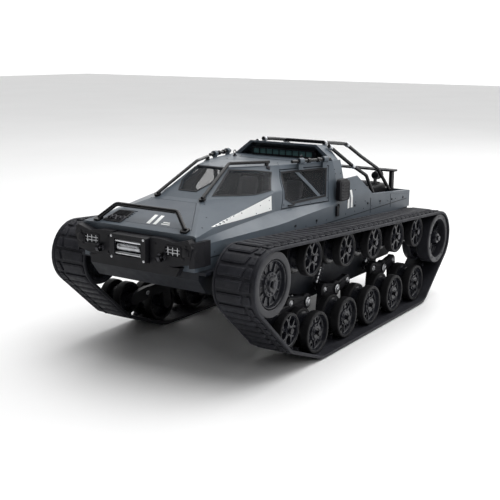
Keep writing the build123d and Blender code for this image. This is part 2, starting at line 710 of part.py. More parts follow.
# ---------------------------------------------------------------- front end
BUMPER_Y = -212.0
BUMPER_FACE = [(0, 126.5), (34, 126.5), (45, 124.5), (60, 128.5), (64, 122.0), (61, 108.0),
               (47, 105.0), (32, 103.5), (0, 103.5)]
WING = [(60.8, -212), (64, -209), (66.5, -198), (66.5, -190), (63.6, -190), (62.3, NOSE_Y), (60.8, NOSE_Y)]
LAMP = (44.5, 117.5)
SHACKLE_X = 33.8
SHACKLE_HOLE = 2.2
SHACKLE_RIM = 1.4
SHACKLE = (FRONT_Y + SHACKLE_HOLE + SHACKLE_RIM, 111.5)
with BuildPart() as front_bumper:
    with BuildSketch(station_plane(BUMPER_Y)) as face:
        outline(BUMPER_FACE + [(-x, z) for x, z in reversed(BUMPER_FACE[1:-1])])
    extrude(face.sketch, amount=BUMPER_Y - NOSE_Y)
    for side in (1, -1):
        with BuildSketch(Plane.XY.offset(105)) as wing:
            outline([(side * x, y) for x, y in WING])
        extrude(wing.sketch, amount=21)
        with BuildSketch(station_plane(BUMPER_Y)) as lamp_recess:
            with Locations((side * LAMP[0], LAMP[1])):
                RectangleRounded(16, 8, 1.2)
        extrude(lamp_recess.sketch, amount=-5, mode=Mode.SUBTRACT)
    with BuildSketch(station_plane(BUMPER_Y)) as centre:
        with Locations((0, 115)):
            Rectangle(41, 24)
    extrude(centre.sketch, amount=-6, mode=Mode.SUBTRACT)
    with BuildSketch(station_plane(NOSE_Y)) as skid:
        outline([(-46, 96), (46, 96), (50, 103.5), (-50, 103.5)])
    extrude(skid.sketch, amount=6)
save(front_bumper.part, "front_bumper")

with BuildPart() as winch:
    with BuildSketch(station_plane(-217.0)) as box:
        with Locations((0, 115.2)):
            RectangleRounded(39, 21.6, 1.5)
    extrude(box.sketch, amount=-10.8)
    with BuildSketch(station_plane(-217.0)) as mouth:
        with Locations((0, 115.2)):
            RectangleRounded(29, 14, 1.0)
    extrude(mouth.sketch, amount=-4, mode=Mode.SUBTRACT)
    for z in (109.8, 120.6):
        with BuildSketch(side_plane(-14.5, (-214.9, z))) as roller:
            Circle(1.3)
        extrude(roller.sketch, amount=29)
    with BuildSketch(side_plane(-14.5, (-213.0, 115.2))) as rope_drum:
        Circle(2.6)
    extrude(rope_drum.sketch, amount=29)
save(winch.part, "winch")

with BuildPart() as tow_shackles:
    for side in (1, -1):
        at = side_plane(side * (SHACKLE_X - 1.5), SHACKLE)
        with BuildSketch(at) as loop:
            Circle(SHACKLE_HOLE + SHACKLE_RIM)
            with Locations((2.0, 0)):
                Rectangle(3.0, 2 * SHACKLE_HOLE + 1.6)
            Circle(SHACKLE_HOLE, mode=Mode.SUBTRACT)
        extrude(loop.sketch, amount=side * 3.0)
        with BuildSketch(side_plane(-300)) as back:
            with Locations((BUMPER_Y + 10, SHACKLE[1])):
                Rectangle(20, 30)
        extrude(back.sketch, amount=600, mode=Mode.SUBTRACT)
save(tow_shackles.part, "tow_shackles")

with BuildPart() as headlight_lenses:
    for side in (1, -1):
        with BuildSketch(station_plane(BUMPER_Y + 0.6)) as lens:
            with Locations((side * LAMP[0], LAMP[1])):
                RectangleRounded(15.6, 7.6, 1.0)
        extrude(lens.sketch, amount=-1.6)
        with BuildSketch(station_plane(BUMPER_Y + 2.2)) as bulbs:
            with Locations((side * LAMP[0], LAMP[1])):
                with GridLocations(6.6, 0, 2, 1):
                    Circle(2.4)
        extrude(bulbs.sketch, amount=-2.8)
save(headlight_lenses.part, "headlight_lenses")


def tube(points, radius, bend):
    """Round tube along straight runs with rounded corners."""
    with BuildLine() as path:
        FilletPolyline(*points, radius=bend)
    start = Vector(*points[0])
    along = Vector(*points[1]) - start
    with BuildSketch(Plane(origin=start, z_dir=along)) as circle:
        Circle(radius)
    sweep(circle.sketch, path=path.line)


HOOD_RISE = (COWL[2] - NOSE[2]) / (COWL[1] - NOSE[1])
BULL_FOOT = (47.6, -199.5, 133.6)
BULL_TOP = (33.5, -191.5, 146.0)
with BuildPart() as bull_bar:
    tube([BULL_FOOT, BULL_TOP] + mirrored([BULL_FOOT, BULL_TOP]), TUBE_R, 6.0)
    for side in (1, -1):
        hood_z = NOSE[2] + HOOD_RISE * (BULL_FOOT[1] - NOSE[1])
        foot = Plane(origin=(side * BULL_FOOT[0], BULL_FOOT[1], hood_z + 0.4), z_dir=(0, -HOOD_RISE, 1))
        with BuildSketch(foot) as pad:
            RectangleRounded(7, 7, 1.5)
        extrude(pad.sketch, amount=1.6)
save(bull_bar.part, "bull_bar")

# ---------------------------------------------------------------- roll cage
SCREEN_BAR = [(25.2, -146.0, 150.4), (18.2, -95.5, 175.2), (36.0, -55.0, 174.0)]
OUTER_BAR = [(44.0, 46.0, 181.0), (51.0, 84.0, 158.0), (55.0, 112.0, 144.0), (61.0, 120.0, 121.0)]
TOP_RAIL = [(37.0, 47.0, 183.8), (37.0, 70.0, 181.6), (37.0, 93.0, 178.8)]
with BuildPart() as roll_cage:
    for side in (1, -1):
        tube([(side * x, y, z) for x, y, z in SCREEN_BAR], 1.5, 5.0)
        with BuildSketch(Plane(origin=(side * 25.2, -145.6, 148.6), z_dir=(0, -0.3, 1))) as pad:
            Circle(3.2)
        extrude(pad.sketch, amount=1.8)
        with BuildSketch(Plane.XY.offset(170.8)) as leg:
            with Locations((side * 34.5, -57.0)):
                Circle(2.0)
        extrude(leg.sketch, amount=3.4)
        tube([(side * x, y, z) for x, y, z in OUTER_BAR], TUBE_R, 4.0)
        tube([(side * x, y, z) for x, y, z in TOP_RAIL], TUBE_R, 4.0)
        hinge = Plane(origin=(side * HINGE_A[0], HINGE_A[1], HINGE_A[2]),
                      z_dir=(side * HINGE_LINE.X, HINGE_LINE.Y, HINGE_LINE.Z))
        with BuildSketch(hinge.offset(-4)) as rod:
            Circle(HINGE_R)
        extrude(rod.sketch, amount=HINGE_LINE.length + 4)
        for share in (0.35, 0.62):
            with BuildSketch(hinge.offset(share * HINGE_LINE.length)) as saddle:
                Circle(2.4)
            extrude(saddle.sketch, amount=3)
    hoop = [(-56.0, 170.0, 121.0), (-42.0, 166.0, 145.0), (-40.0, 128.0, 162.0), (-39.0, 93.0, 178.8)]
    hoop = hoop + mirrored(hoop)
    tube(hoop, TUBE_R, 4.0)
save(roll_cage.part, "roll_cage")

# ---------------------------------------------------------------- roof lamps
with BuildPart() as light_bar:
    with BuildSketch(station_plane(26.5)) as housing:
        with Locations((0, 173.0)):
            RectangleRounded(76, 7.6, 1.5)
    extrude(housing.sketch, amount=-7)
    with BuildSketch(station_plane(26.5)) as window:
        with Locations((0, 173.0)):
            RectangleRounded(73, 5.4, 1.0)
    extrude(window.sketch, amount=-3, mode=Mode.SUBTRACT)
save(light_bar.part, "light_bar")

with BuildPart() as light_bar_lens:
    with BuildSketch(station_plane(27.0)) as lens:
        with Locations((0, 173.0)):
            RectangleRounded(72.6, 5.0, 0.9)
    extrude(lens.sketch, amount=-2.4)
save(light_bar_lens.part, "light_bar_lens")

# ---------------------------------------------------------------- rear deck
with BuildPart() as engine_cover:
    with BuildSketch(Plane.XY.offset(BED_FLOOR + 0.2)) as block:
        with Locations((0, 168)):
            RectangleRounded(84, 50, 4)
    extrude(block.sketch, amount=20)
    top = engine_cover.faces().sort_by(Axis.Z)[-1]
    fillet(top.edges(), 3)
    for y in range(-18, 20, 6):
        with BuildSketch(Plane.XY.offset(BED_FLOOR + 20.2)) as rib:
            with Locations((0, 168 + y)):
                Rectangle(72, 2)
        extrude(rib.sketch, amount=1.2)
save(engine_cover.part, "engine_cover")

RACK_Z = 139.5
with BuildPart() as rear_rack:
    with BuildSketch(Plane.XY.offset(RACK_Z)) as plate:
        with Locations((0, 190)):
            RectangleRounded(108, 12, 2)
            with GridLocations(12, 0, 8, 1):
                SlotOverall(8, 3, mode=Mode.SUBTRACT)
    extrude(plate.sketch, amount=2)
    for side in (1, -1):
        with BuildSketch(Plane.XY.offset(BED_FLOOR + 0.2)) as post:
            with Locations((side * 49, 190)):
                RectangleRounded(4, 7, 1)
        extrude(post.sketch, amount=RACK_Z - BED_FLOOR - 0.2)
save(rear_rack.part, "rear_rack")

with BuildPart() as air_pods:
    for side in (1, -1):
        with BuildSketch(side_plane(side * 69.2)) as pod:
            with Locations((26, 140.5)):
                RectangleRounded(17, 22, 3.6)
        extrude(pod.sketch, amount=side * 4.5)
        with BuildSketch(side_plane(side * 69.2)) as stem:
            with Locations((20, 119.5)):
                RectangleRounded(4.6, 10.5, 1.2)
        extrude(stem.sketch, amount=side * 2.0)
save(air_pods.part, "air_pods")

# ---------------------------------------------------------------- inside the hull
with BuildPart() as battery_pack:
    with BuildSketch(Plane.XY.offset(51.6)) as case:
        with Locations((0, 70)):
            RectangleRounded(46, 110, 5)
    extrude(case.sketch, amount=24)
save(battery_pack.part, "battery_pack")

with BuildPart() as control_board:
    with BuildSketch(Plane.XY.offset(56)) as board:
        with Locations((0, -30)):
            Rectangle(60, 50)
    extrude(board.sketch, amount=1.6)
    with BuildSketch(Plane.XY.offset(57.6)) as chips:
        with Locations((-14, -24)):
            Rectangle(22, 22)
        with Locations((16, -20)):
            Rectangle(14, 20)
        with Locations((0, -48)):
            Rectangle(40, 8)
    extrude(chips.sketch, amount=6)
    with BuildSketch(Plane.XY.offset(49.5)) as feet:
        with Locations((0, -30)):
            with GridLocations(50, 36, 2, 2):
                Circle(2)
    extrude(feet.sketch, amount=7)
save(control_board.part, "control_board")

with BuildPart() as drive_gearmotors:
    for side in (1, -1):
        disc(side * 57.2, DRUM, 8.0, side * -2.0)
        with BuildSketch(side_plane(side * 55.2)) as gearbox:
            bar(DRUM, (DRUM[0] + 34, DRUM[1] - 12), 18)
        extrude(gearbox.sketch, amount=side * -14)
        disc(side * 41.2, (DRUM[0] + 34, DRUM[1] - 12), 10.0, side * -32)
save(drive_gearmotors.part, "drive_gearmotors")

with BuildPart() as body_screws:
    for side in (1, -1):
        with BuildSketch(side_plane(side * 69.0)) as heads:
            with Locations(*[(y, 119.5 - 0.06 * (y - 60)) for y in (60, 90, 120, 150, 180)]):
                Circle(1.2)
            with Locations((-60, 117), (-20, 116)):
                Circle(1.2)
        extrude(heads.sketch, amount=side * 0.7)
save(body_screws.part, "body_screws")
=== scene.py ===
import math

import bmesh
import bpy
from mathutils import Matrix, Vector
from mathutils.bvhtree import BVHTree


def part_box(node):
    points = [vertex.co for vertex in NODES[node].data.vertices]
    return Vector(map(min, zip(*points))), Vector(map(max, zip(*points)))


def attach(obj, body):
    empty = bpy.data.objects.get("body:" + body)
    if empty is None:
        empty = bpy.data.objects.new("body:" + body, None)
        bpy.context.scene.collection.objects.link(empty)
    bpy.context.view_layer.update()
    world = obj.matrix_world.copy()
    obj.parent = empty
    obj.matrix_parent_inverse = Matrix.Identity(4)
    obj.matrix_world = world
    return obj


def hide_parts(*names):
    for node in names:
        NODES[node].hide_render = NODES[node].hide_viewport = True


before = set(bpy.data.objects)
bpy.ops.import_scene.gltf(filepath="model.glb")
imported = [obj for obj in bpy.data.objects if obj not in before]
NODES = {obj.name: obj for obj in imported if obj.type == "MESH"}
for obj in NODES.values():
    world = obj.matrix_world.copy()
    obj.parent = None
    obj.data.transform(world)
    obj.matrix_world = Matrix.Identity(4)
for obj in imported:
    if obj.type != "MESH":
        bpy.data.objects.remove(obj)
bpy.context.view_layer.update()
SIDES = (("left", 1), ("right", -1))
MM = 0.001


# ---------------------------------------------------------------- materials
class Shader:
    """Small builder for a node material on a Principled BSDF."""

    def __init__(self, name):
        self.material = bpy.data.materials.new(name)
        self.material.use_nodes = True
        self.tree = self.material.node_tree
        self.bsdf = self.tree.nodes["Principled BSDF"]
        self.position = self.node("ShaderNodeTexCoord").outputs["Object"]

    def node(self, kind, **values):
        item = self.tree.nodes.new(kind)
        for key, value in values.items():
            setattr(item, key, value)
        return item

    def link(self, start, end):
        self.tree.links.new(start, end)

    def noise(self, scale, detail=4.0, rough=0.55):
        item = self.node("ShaderNodeTexNoise")
        item.inputs["Scale"].default_value = scale
        item.inputs["Detail"].default_value = detail
        item.inputs["Roughness"].default_value = rough
        self.link(self.position, item.inputs["Vector"])
        return item.outputs["Fac"]

    def ramp(self, fac, low, high, a=0.0, b=1.0):
        """Maps fac from low..high to a..b, held at the ends."""
        item = self.node("ShaderNodeMapRange")
        for key, value in (("From Min", low), ("From Max", high), ("To Min", a), ("To Max", b)):
            item.inputs[key].default_value = value
        self.link(fac, item.inputs["Value"])
        return item.outputs["Result"]

    def mix(self, fac, a, b):
        item = self.node("ShaderNodeMix", data_type="RGBA")
        for value, socket in ((a, item.inputs[6]), (b, item.inputs[7])):
            if isinstance(value, tuple):
                socket.default_value = (*value[:3], 1)
            else:
                self.link(value, socket)
        self.link(fac, item.inputs[0])
        return item.outputs[2]

    def times(self, value, factor):
        """value times a number or another socket."""
        item = self.node("ShaderNodeMath", operation="MULTIPLY")
        self.link(value, item.inputs[0])
        if isinstance(factor, float):
            item.inputs[1].default_value = factor
        else:
            self.link(factor, item.inputs[1])
        return item.outputs[0]

    def bump(self, height, strength, distance):
        item = self.node("ShaderNodeBump")
        item.inputs["Strength"].default_value = strength
        item.inputs["Distance"].default_value = distance
        self.link(height, item.inputs["Height"])
        return item.outputs["Normal"]

    def edge_highlight_mask(self, radius):
        """1 on edges, where a painted edge highlight goes: where a rounded normal leaves the true one."""
        bevel = self.node("ShaderNodeBevel", samples=4)
        bevel.inputs["Radius"].default_value = radius
        geometry = self.node("ShaderNodeNewGeometry")
        dot = self.node("ShaderNodeVectorMath", operation="DOT_PRODUCT")
        self.link(bevel.outputs["Normal"], dot.inputs[0])
        self.link(geometry.outputs["Normal"], dot.inputs[1])
        return self.ramp(dot.outputs["Value"], 0.995, 0.90)

    def finish(self, colour, rough, normal=None, **fixed):
        if isinstance(colour, tuple):
            self.bsdf.inputs["Base Color"].default_value = (*colour[:3], 1)
        else:
            self.link(colour, self.bsdf.inputs["Base Color"])
        if isinstance(rough, float):
            self.bsdf.inputs["Roughness"].default_value = rough
        else:
            self.link(rough, self.bsdf.inputs["Roughness"])
        if normal is not None:
            self.link(normal, self.bsdf.inputs["Normal"])
        for key, value in fixed.items():
            self.bsdf.inputs[key.replace("_", " ")].default_value = value
        return self.material


def paint(name, base, light, rough=0.38, highlight_strength=0.35):
    """Satin paint on moulded plastic: faint mottling, fine orange peel, and a painted highlight that lightens
    the edges.
    """
    s = Shader(name)
    cloud = s.ramp(s.noise(18, 5), 0.35, 0.68)
    colour = s.mix(cloud, base, tuple(c * 1.16 for c in base))
    # Painted highlight: the edges are lightened towards the light colour, broken up by noise.
    broken_edge_highlight = s.times(s.edge_highlight_mask(0.0007), s.ramp(s.noise(420, 3), 0.38, 0.62))
    colour = s.mix(s.times(broken_edge_highlight, highlight_strength), colour, light)
    shine = s.ramp(s.noise(60, 4), 0.3, 0.7, rough - 0.06, rough + 0.08)
    normal = s.bump(s.noise(900, 2), 0.10, 0.0002)
    return s.finish(colour, shine, normal, Specular_IOR_Level=0.3, Coat_Weight=0.08, Coat_Roughness=0.25)


def moulded(name, base, rough=0.5, grain=1400.0, depth=0.22, highlight_strength=0.25, coat=0.0):
    """Moulded plastic with a spark-eroded grain, and a painted highlight that lightens the edges."""
    s = Shader(name)
    cloud = s.ramp(s.noise(45, 4), 0.3, 0.7)
    colour = s.mix(cloud, base, tuple(min(1, c * 1.35 + 0.004) for c in base))
    # Painted highlight: a lighter colour laid on the edges.
    highlight_colour = tuple(min(1, c * 2.2 + 0.014) for c in base)
    colour = s.mix(s.times(s.edge_highlight_mask(0.0005), highlight_strength), colour, highlight_colour)
    shine = s.ramp(s.noise(140, 4), 0.3, 0.7, rough - 0.08, rough + 0.08)
    normal = s.bump(s.noise(grain, 3), depth, 0.0001)
    return s.finish(colour, shine, normal, Specular_IOR_Level=0.22, Coat_Weight=coat, Coat_Roughness=0.15)


def rubber(name, base):
    """Charcoal rubber: matt, finely pitted, with dusty high spots, and a painted highlight on the edges."""
    s = Shader(name)
    dust = s.ramp(s.noise(55, 6, 0.65), 0.42, 0.75)
    colour = s.mix(dust, base, tuple(c * 1.7 + 0.006 for c in base))
    # Painted highlight: a lighter colour laid on the edges.
    highlight_colour = tuple(c * 2.6 + 0.008 for c in base)
    colour = s.mix(s.times(s.edge_highlight_mask(0.0006), 0.35), colour, highlight_colour)
    shine = s.ramp(s.noise(300, 4), 0.3, 0.7, 0.48, 0.72)
    normal = s.bump(s.noise(1600, 4), 0.35, 0.00012)
    return s.finish(colour, shine, normal, Specular_IOR_Level=0.22)


def metal(name, base, rough=0.3, streak=400.0):
    """Turned or drawn metal with fine streaks along X and small stains."""
    s = Shader(name)
    mapping = s.node("ShaderNodeMapping")
    mapping.inputs["Scale"].default_value = (0.15, 1, 1)
    s.link(s.position, mapping.inputs["Vector"])
    lines = s.node("ShaderNodeTexNoise")
    lines.inputs["Scale"].default_value = streak
    lines.inputs["Detail"].default_value = 3
    s.link(mapping.outputs["Vector"], lines.inputs["Vector"])
    stain = s.ramp(s.noise(90, 5), 0.45, 0.75)
    colour = s.mix(stain, base, tuple(c * 0.72 for c in base))
    shine = s.ramp(lines.outputs["Fac"], 0.3, 0.7, rough - 0.08, rough + 0.12)
    normal = s.bump(lines.outputs["Fac"], 0.12, 0.0001)
    return s.finish(colour, shine, normal, Metallic=1.0)


def glazing(name, tint, rough=0.06, alpha=0.35):
    """Thin clear moulding, with faint waviness and dust."""
    s = Shader(name)
    haze = s.ramp(s.noise(120, 4), 0.45, 0.8)
    colour = s.mix(haze, tint, tuple(min(1, c * 1.1 + 0.03) for c in tint))
    shine = s.ramp(s.noise(300, 3), 0.35, 0.8, rough, rough + 0.08)
    normal = s.bump(s.noise(70, 2), 0.05, 0.0004)
    s.material.blend_method = "BLEND"
    return s.finish(colour, shine, normal, Alpha=alpha, IOR=1.33, Specular_IOR_Level=0.35)


# The paint, moulded and rubber finishes here carry a painted highlight on their edges.
M = {
    "body": paint("body_paint", (0.072, 0.089, 0.108), (0.24, 0.27, 0.31)),
    "hood": paint("hood_paint", (0.066, 0.080, 0.098), (0.22, 0.25, 0.29)),
    "white": paint("stripe_white", (0.78, 0.79, 0.78), (0.9, 0.9, 0.9), 0.45, 0.1),
    "black": moulded("black_plastic", (0.0055, 0.0055, 0.0075), 0.46),
    "hull": moulded("hull_plastic", (0.0065, 0.008, 0.012), 0.5),
    "wheel": moulded("wheel_plastic", (0.013, 0.0135, 0.017), 0.40, 1100.0, 0.12, 0.3, 0.1),
    "disc": moulded("wheel_disc", (0.009, 0.0095, 0.013), 0.26, 900.0, 0.08, 0.35, 0.12),
    "arm": moulded("arm_plastic", (0.006, 0.006, 0.008), 0.42),
    "interior": moulded("interior_plastic", (0.012, 0.012, 0.014), 0.6),
    "seat": moulded("seat_vinyl", (0.16, 0.16, 0.165), 0.5, 700.0, 0.4),
    "rubber": rubber("track_rubber", (0.0125, 0.013, 0.017)),
    "tyre": rubber("tyre_rubber", (0.0055, 0.0055, 0.0065)),
    "tube": paint("tube_black", (0.005, 0.005, 0.006), (0.06, 0.06, 0.07), 0.24, 0.2),
    "steel": metal("steel", (0.60, 0.61, 0.63)),
    "dark_steel": metal("steel_dark", (0.055, 0.055, 0.062), 0.34),
    "alloy": metal("shock_metal", (0.50, 0.51, 0.53), 0.26),
    "motor": metal("motor_metal", (0.42, 0.42, 0.44), 0.3),
    "glass": glazing("clear_glass", (0.02, 0.022, 0.026), 0.05, 0.30),
    "lens": glazing("lamp_lens", (0.86, 0.89, 0.93), 0.05, 0.6),
    "teal": glazing("tinted_lens", (0.10, 0.20, 0.20), 0.08, 0.75),
    "battery": moulded("battery_wrap", (0.02, 0.05, 0.13), 0.3),
    "board": moulded("circuit_board", (0.01, 0.09, 0.04), 0.4),
}

NODE_MATERIAL = {
    "lower_hull": "hull", "axle_pins": "dark_steel", "shock_absorbers": "alloy", "body_shell": "body",
    "hood_panel": "hood", "windscreen": "glass", "cab_interior": "interior", "front_bumper": "black",
    "winch": "black", "headlight_lenses": "lens", "bull_bar": "tube", "roll_cage": "tube",
    "light_bar": "black", "light_bar_lens": "teal", "rear_rack": "black", "engine_cover": "black",
    "air_pods": "black", "tow_shackles": "dark_steel", "battery_pack": "battery",
    "control_board": "board", "drive_gearmotors": "motor", "body_screws": "dark_steel",
    "track_belt": "rubber", "drive_drum": "wheel", "idler_drum": "wheel", "tension_wheel": "wheel",
    "road_wheel": "wheel", "return_roller": "wheel", "front_arm": "arm", "front_bogie": "arm",
    "rear_bogie": "arm", "door": "body", "door_glass": "glass",
}


def family(node):
    """A node's name without its number and side."""
    words = [w for w in node.split("_") if w not in ("left", "right") and not w.isdigit()]
    return "_".join(words)


def soften(node, width):
    """Rounded edges on a CAD node, by a bevel that leaves its own mesh alone."""
    bevel = NODES[node].modifiers.new("edges", "BEVEL")
    bevel.width = width
    bevel.segments = 2
    bevel.limit_method = "ANGLE"
    bevel.angle_limit = math.radians(30)


for name, node in NODES.items():
    node.data.materials.clear()
    node.data.materials.append(M[NODE_MATERIAL[family(name)]])


# ---------------------------------------------------------------- stage, light and camera
def add_stage():
    """White floor, under a sky that is white behind the vehicle and dim on the camera's side."""
    bpy.ops.mesh.primitive_plane_add(size=12, location=(0, 0, 0))
    floor = bpy.context.object
    floor.name = "floor"
    s = Shader("floor_white")
    mottled = s.mix(s.ramp(s.noise(3), 0.3, 0.7), (0.90, 0.90, 0.90), (0.93, 0.93, 0.93))
    floor.data.materials.append(s.finish(mottled, 0.6))
    world = bpy.data.worlds.new("studio")
    bpy.context.scene.world = world
    world.use_nodes = True
    tree = world.node_tree
    where = tree.nodes.new("ShaderNodeTexCoord")
    split = tree.nodes.new("ShaderNodeSeparateXYZ")
    ramp = tree.nodes.new("ShaderNodeMapRange")
    tree.links.new(where.outputs["Generated"], split.inputs[0])
    tree.links.new(split.outputs["Y"], ramp.inputs["Value"])
    for key, value in (("From Min", -0.55), ("From Max", 0.35), ("To Min", 0.06), ("To Max", 1.15)):
        ramp.inputs[key].default_value = value
    tree.links.new(ramp.outputs[0], tree.nodes["Background"].inputs["Strength"])
    tree.nodes["Background"].inputs["Color"].default_value = (1, 1, 1, 1)
    bpy.context.scene.view_settings.view_transform = "Standard"


def add_area(name, place, aim, size, power):
    light = bpy.data.lights.new(name, "AREA")
    light.shape = "RECTANGLE"
    light.size, light.size_y = size
    light.energy = power
    lamp = bpy.data.objects.new(name, light)
    lamp.location = place
    lamp.rotation_euler = (Vector(aim) - Vector(place)).to_track_quat("-Z", "Y").to_euler()
    bpy.context.collection.objects.link(lamp)


def add_camera():
    """The camera stands ahead and to the left, a little above the roof."""
    azimuth, elevation, roll = math.radians(33.7), math.radians(12.7), math.radians(0.4)
    aim, distance = Vector((-0.6, -31.5, 79.7)) * MM, 913.4 * MM
    back = Vector((math.sin(azimuth) * math.cos(elevation),
                   -math.cos(azimuth) * math.cos(elevation), math.sin(elevation)))
    data = bpy.data.cameras.new("camera")
    data.sensor_width = 36
    data.lens = 65.2
    camera = bpy.data.objects.new("camera", data)
    camera.location = aim + back * distance
    turn = (-back).to_track_quat("-Z", "Y").to_matrix()
    camera.rotation_euler = (turn @ Matrix.Rotation(roll, 3, "Z")).to_euler()
    bpy.context.collection.objects.link(camera)
    bpy.context.scene.camera = camera


add_stage()
add_area("key", (0.25, 0.05, 1.7), (0, 0, 0.05), (1.8, 1.8), 20)
add_area("fill", (1.5, -0.7, 0.9), (0, 0, 0.06), (0.9, 0.7), 3.5)
add_area("rim", (0.4, 1.4, 1.2), (0, 0, 0.1), (1.4, 0.6), 8)
add_camera()


# ---------------------------------------------------------------- mesh helpers
# Shapes are drawn in millimetres.
class Build:
    """Collects shapes, drawn in millimetres, into one mesh; slot is the material of what comes next."""

    def __init__(self):
        self.bm = bmesh.new()
        self.slot = 0

    def loop(self, points):
        return [self.bm.verts.new(Vector(p) * MM) for p in points]

    def skin(self, a, b):
        """Quads between two closed loops of equal length."""
        count = len(a)
        for i in range(count):
            j = (i + 1) % count
            face = self.bm.faces.new((a[i], a[j], b[j], b[i]))
            face.material_index = self.slot

    def cap(self, ring):
        face = self.bm.faces.new(ring)
        face.material_index = self.slot

    def solid(self, rings, closed=False):
        """Closed solid through rings of points; closed joins the last ring to the first."""
        loops = [self.loop(ring) for ring in rings]
        for a, b in zip(loops, loops[1:]):
            self.skin(a, b)
        if closed:
            self.skin(loops[-1], loops[0])
        else:
            self.cap(loops[0])
            self.cap(loops[-1])

    def lathe(self, section, at=(0.0, 0.0), steps=48, soft=0.35):
        """Ring turned about an X axis through at = (y, z) from a closed section of (x, radius)."""
        section = rounded(section, soft, 2)
        rings = []
        for k in range(steps):
            turn = 2 * math.pi * k / steps
            rings.append([(x, at[0] + r * math.cos(turn), at[1] + r * math.sin(turn)) for x, r in section])
        self.solid(rings, closed=True)

    def stack(self, outline, levels, place):
        """Stepped plate: the outline at each (inset, height) level, laid out by place(a, b, height)."""
        us = [p[0] for p in outline]
        vs = [p[1] for p in outline]
        middle = ((min(us) + max(us)) / 2, (min(vs) + max(vs)) / 2)
        half = ((max(us) - min(us)) / 2, (max(vs) - min(vs)) / 2)
        rings = []
        for inset, height in levels:
            shrink = [1 - min(0.95, inset / h) for h in half]
            rings.append([place(middle[0] + (u - middle[0]) * shrink[0],
                                middle[1] + (v - middle[1]) * shrink[1], height) for u, v in outline])
        self.solid(rings)

    def tube(self, points, radius, sides=12, closed=False):
        """Round tube of constant or varying radius along points."""
        points = [Vector(p) for p in points]
        count = len(points)
        radii = radius if isinstance(radius, (list, tuple)) else [radius] * count
        side = None
        rings = []
        for i, point in enumerate(points):
            before = points[i - 1] if i or closed else point
            after = points[(i + 1) % count] if i < count - 1 or closed else point
            along = (after - before).normalized()
            if side is None:
                side = along.orthogonal().normalized()
            side = (side - along * side.dot(along)).normalized()
            across = along.cross(side)
            rings.append([point + radii[i] * (math.cos(t) * side + math.sin(t) * across)
                          for t in (2 * math.pi * k / sides for k in range(sides))])
        self.solid(rings, closed)

    def peg(self, start, along, shape, sides=16, turn=0.0):
        """Turned peg standing on start: shape is a list of (height, radius) along a direction."""
        along = Vector(along).normalized()
        side = along.orthogonal().normalized()
        across = along.cross(side)
        angles = [turn + 2 * math.pi * k / sides for k in range(sides)]
        self.solid([[Vector(start) + h * along + r * (math.cos(t) * side + math.sin(t) * across)
                     for t in angles] for h, r in shape])

    def hex_bolt(self, start, along, radius, height):
        """Washer and chamfered hexagon head."""
        washer = radius * 1.45
        self.peg(start, along, [(-0.3, washer), (height * 0.25, washer), (height * 0.3, radius * 1.3)])
        self.peg(start, along, [(0, radius), (height * 0.8, radius), (height, radius * 0.82)], 6)

    def bolt_circle(self, x, ring, count, radius, height, phase=0.5):
        """Bolts that face +X, evenly spaced round a wheel's axis; phase shifts them by a share of the gap."""
        for y, z in circle(ring, count, phase):
            self.hex_bolt((x, y, z), (1, 0, 0), radius, height)

    def rivet(self, start, along, radius):
        self.peg(start, along, [(-0.3, radius), (0.0, radius), (radius * 0.35, radius * 0.8),
                                (radius * 0.5, radius * 0.35)], 10)

    def piece(self, name, materials, body="chassis", slot=None, replaces=(), sharp=34.0, mirror=False):
        """Turns what was drawn into a piece that rides on a body."""
        add_piece(name, self.mesh(name, materials, sharp, mirror), body, replaces)

    def mesh(self, name, materials, sharp=34.0, mirror=False):
        bm = self.bm
        if mirror:
            bmesh.ops.scale(bm, vec=(-1, 1, 1), verts=bm.verts)
        bmesh.ops.recalc_face_normals(bm, faces=bm.faces)
        limit = math.radians(sharp)
        for edge in bm.edges:
            edge.smooth = len(edge.link_faces) == 2 and edge.calc_face_angle(0.0) < limit
        for face in bm.faces:
            face.smooth = True
        mesh = bpy.data.meshes.new(name)
        bm.to_mesh(mesh)
        bm.free()
        for key in materials:
            mesh.materials.append(M[key])
        return mesh


def add_piece(name, mesh, body="chassis", replaces=(), at=None):
    piece = bpy.data.objects.new(name, mesh)
    bpy.context.collection.objects.link(piece)
    if at is not None:
        piece.location = Vector(at)
    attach(piece, body)
    if replaces:
        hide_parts(*replaces)


def rounded(points, radius, steps=3):
    """The outline with its corners rounded."""
    if radius <= 0:
        return list(points)
    out = []
    count = len(points)
    for i in range(count):
        before, corner, after = (Vector(points[(i + k) % count]) for k in (-1, 0, 1))
        back, ahead = before - corner, after - corner
        cut = min(radius, 0.45 * back.length, 0.45 * ahead.length)
        start, end = corner + back.normalized() * cut, corner + ahead.normalized() * cut
        for k in range(steps + 1):
            t = k / steps
            out.append(tuple((1 - t) ** 2 * start + 2 * t * (1 - t) * corner + t * t * end))
    return out


def facing_side(x, at=(0.0, 0.0), side=1):
    """place() for plates that face +X or -X, drawn in (y, z) about at."""
    return lambda a, b, h: (side * (x + h), at[0] + a, at[1] + b)


def box_outline(width, height, at=(0.0, 0.0), turn=0.0):
    """Corners of a rectangle, turned about its middle."""
    c, s = math.cos(turn), math.sin(turn)
    corners = ((-1, -1), (1, -1), (1, 1), (-1, 1))
    return [(at[0] + i * width / 2 * c - j * height / 2 * s, at[1] + i * width / 2 * s + j * height / 2 * c)
            for i, j in corners]


def polar(radius, turn):
    return (radius * math.cos(turn), radius * math.sin(turn))


def circle(radius, count, phase=0.0):
    """Evenly spaced points, shifted by a share of the gap between two."""
    return [polar(radius, 2 * math.pi * (k + phase) / count) for k in range(count)]


def taper(start, end, near, far):
    """Outline of a straight bar that is 2 x near wide at its start and 2 x far wide at its end."""
    run = (end - start).normalized()
    over = Vector((-run.y, run.x))
    return [tuple(p) for p in (start - over * near, end - over * far, end + over * far, start + over * near)]


def upright(a, b, h):
    """place() for plates that face up."""
    return (a, b, h)


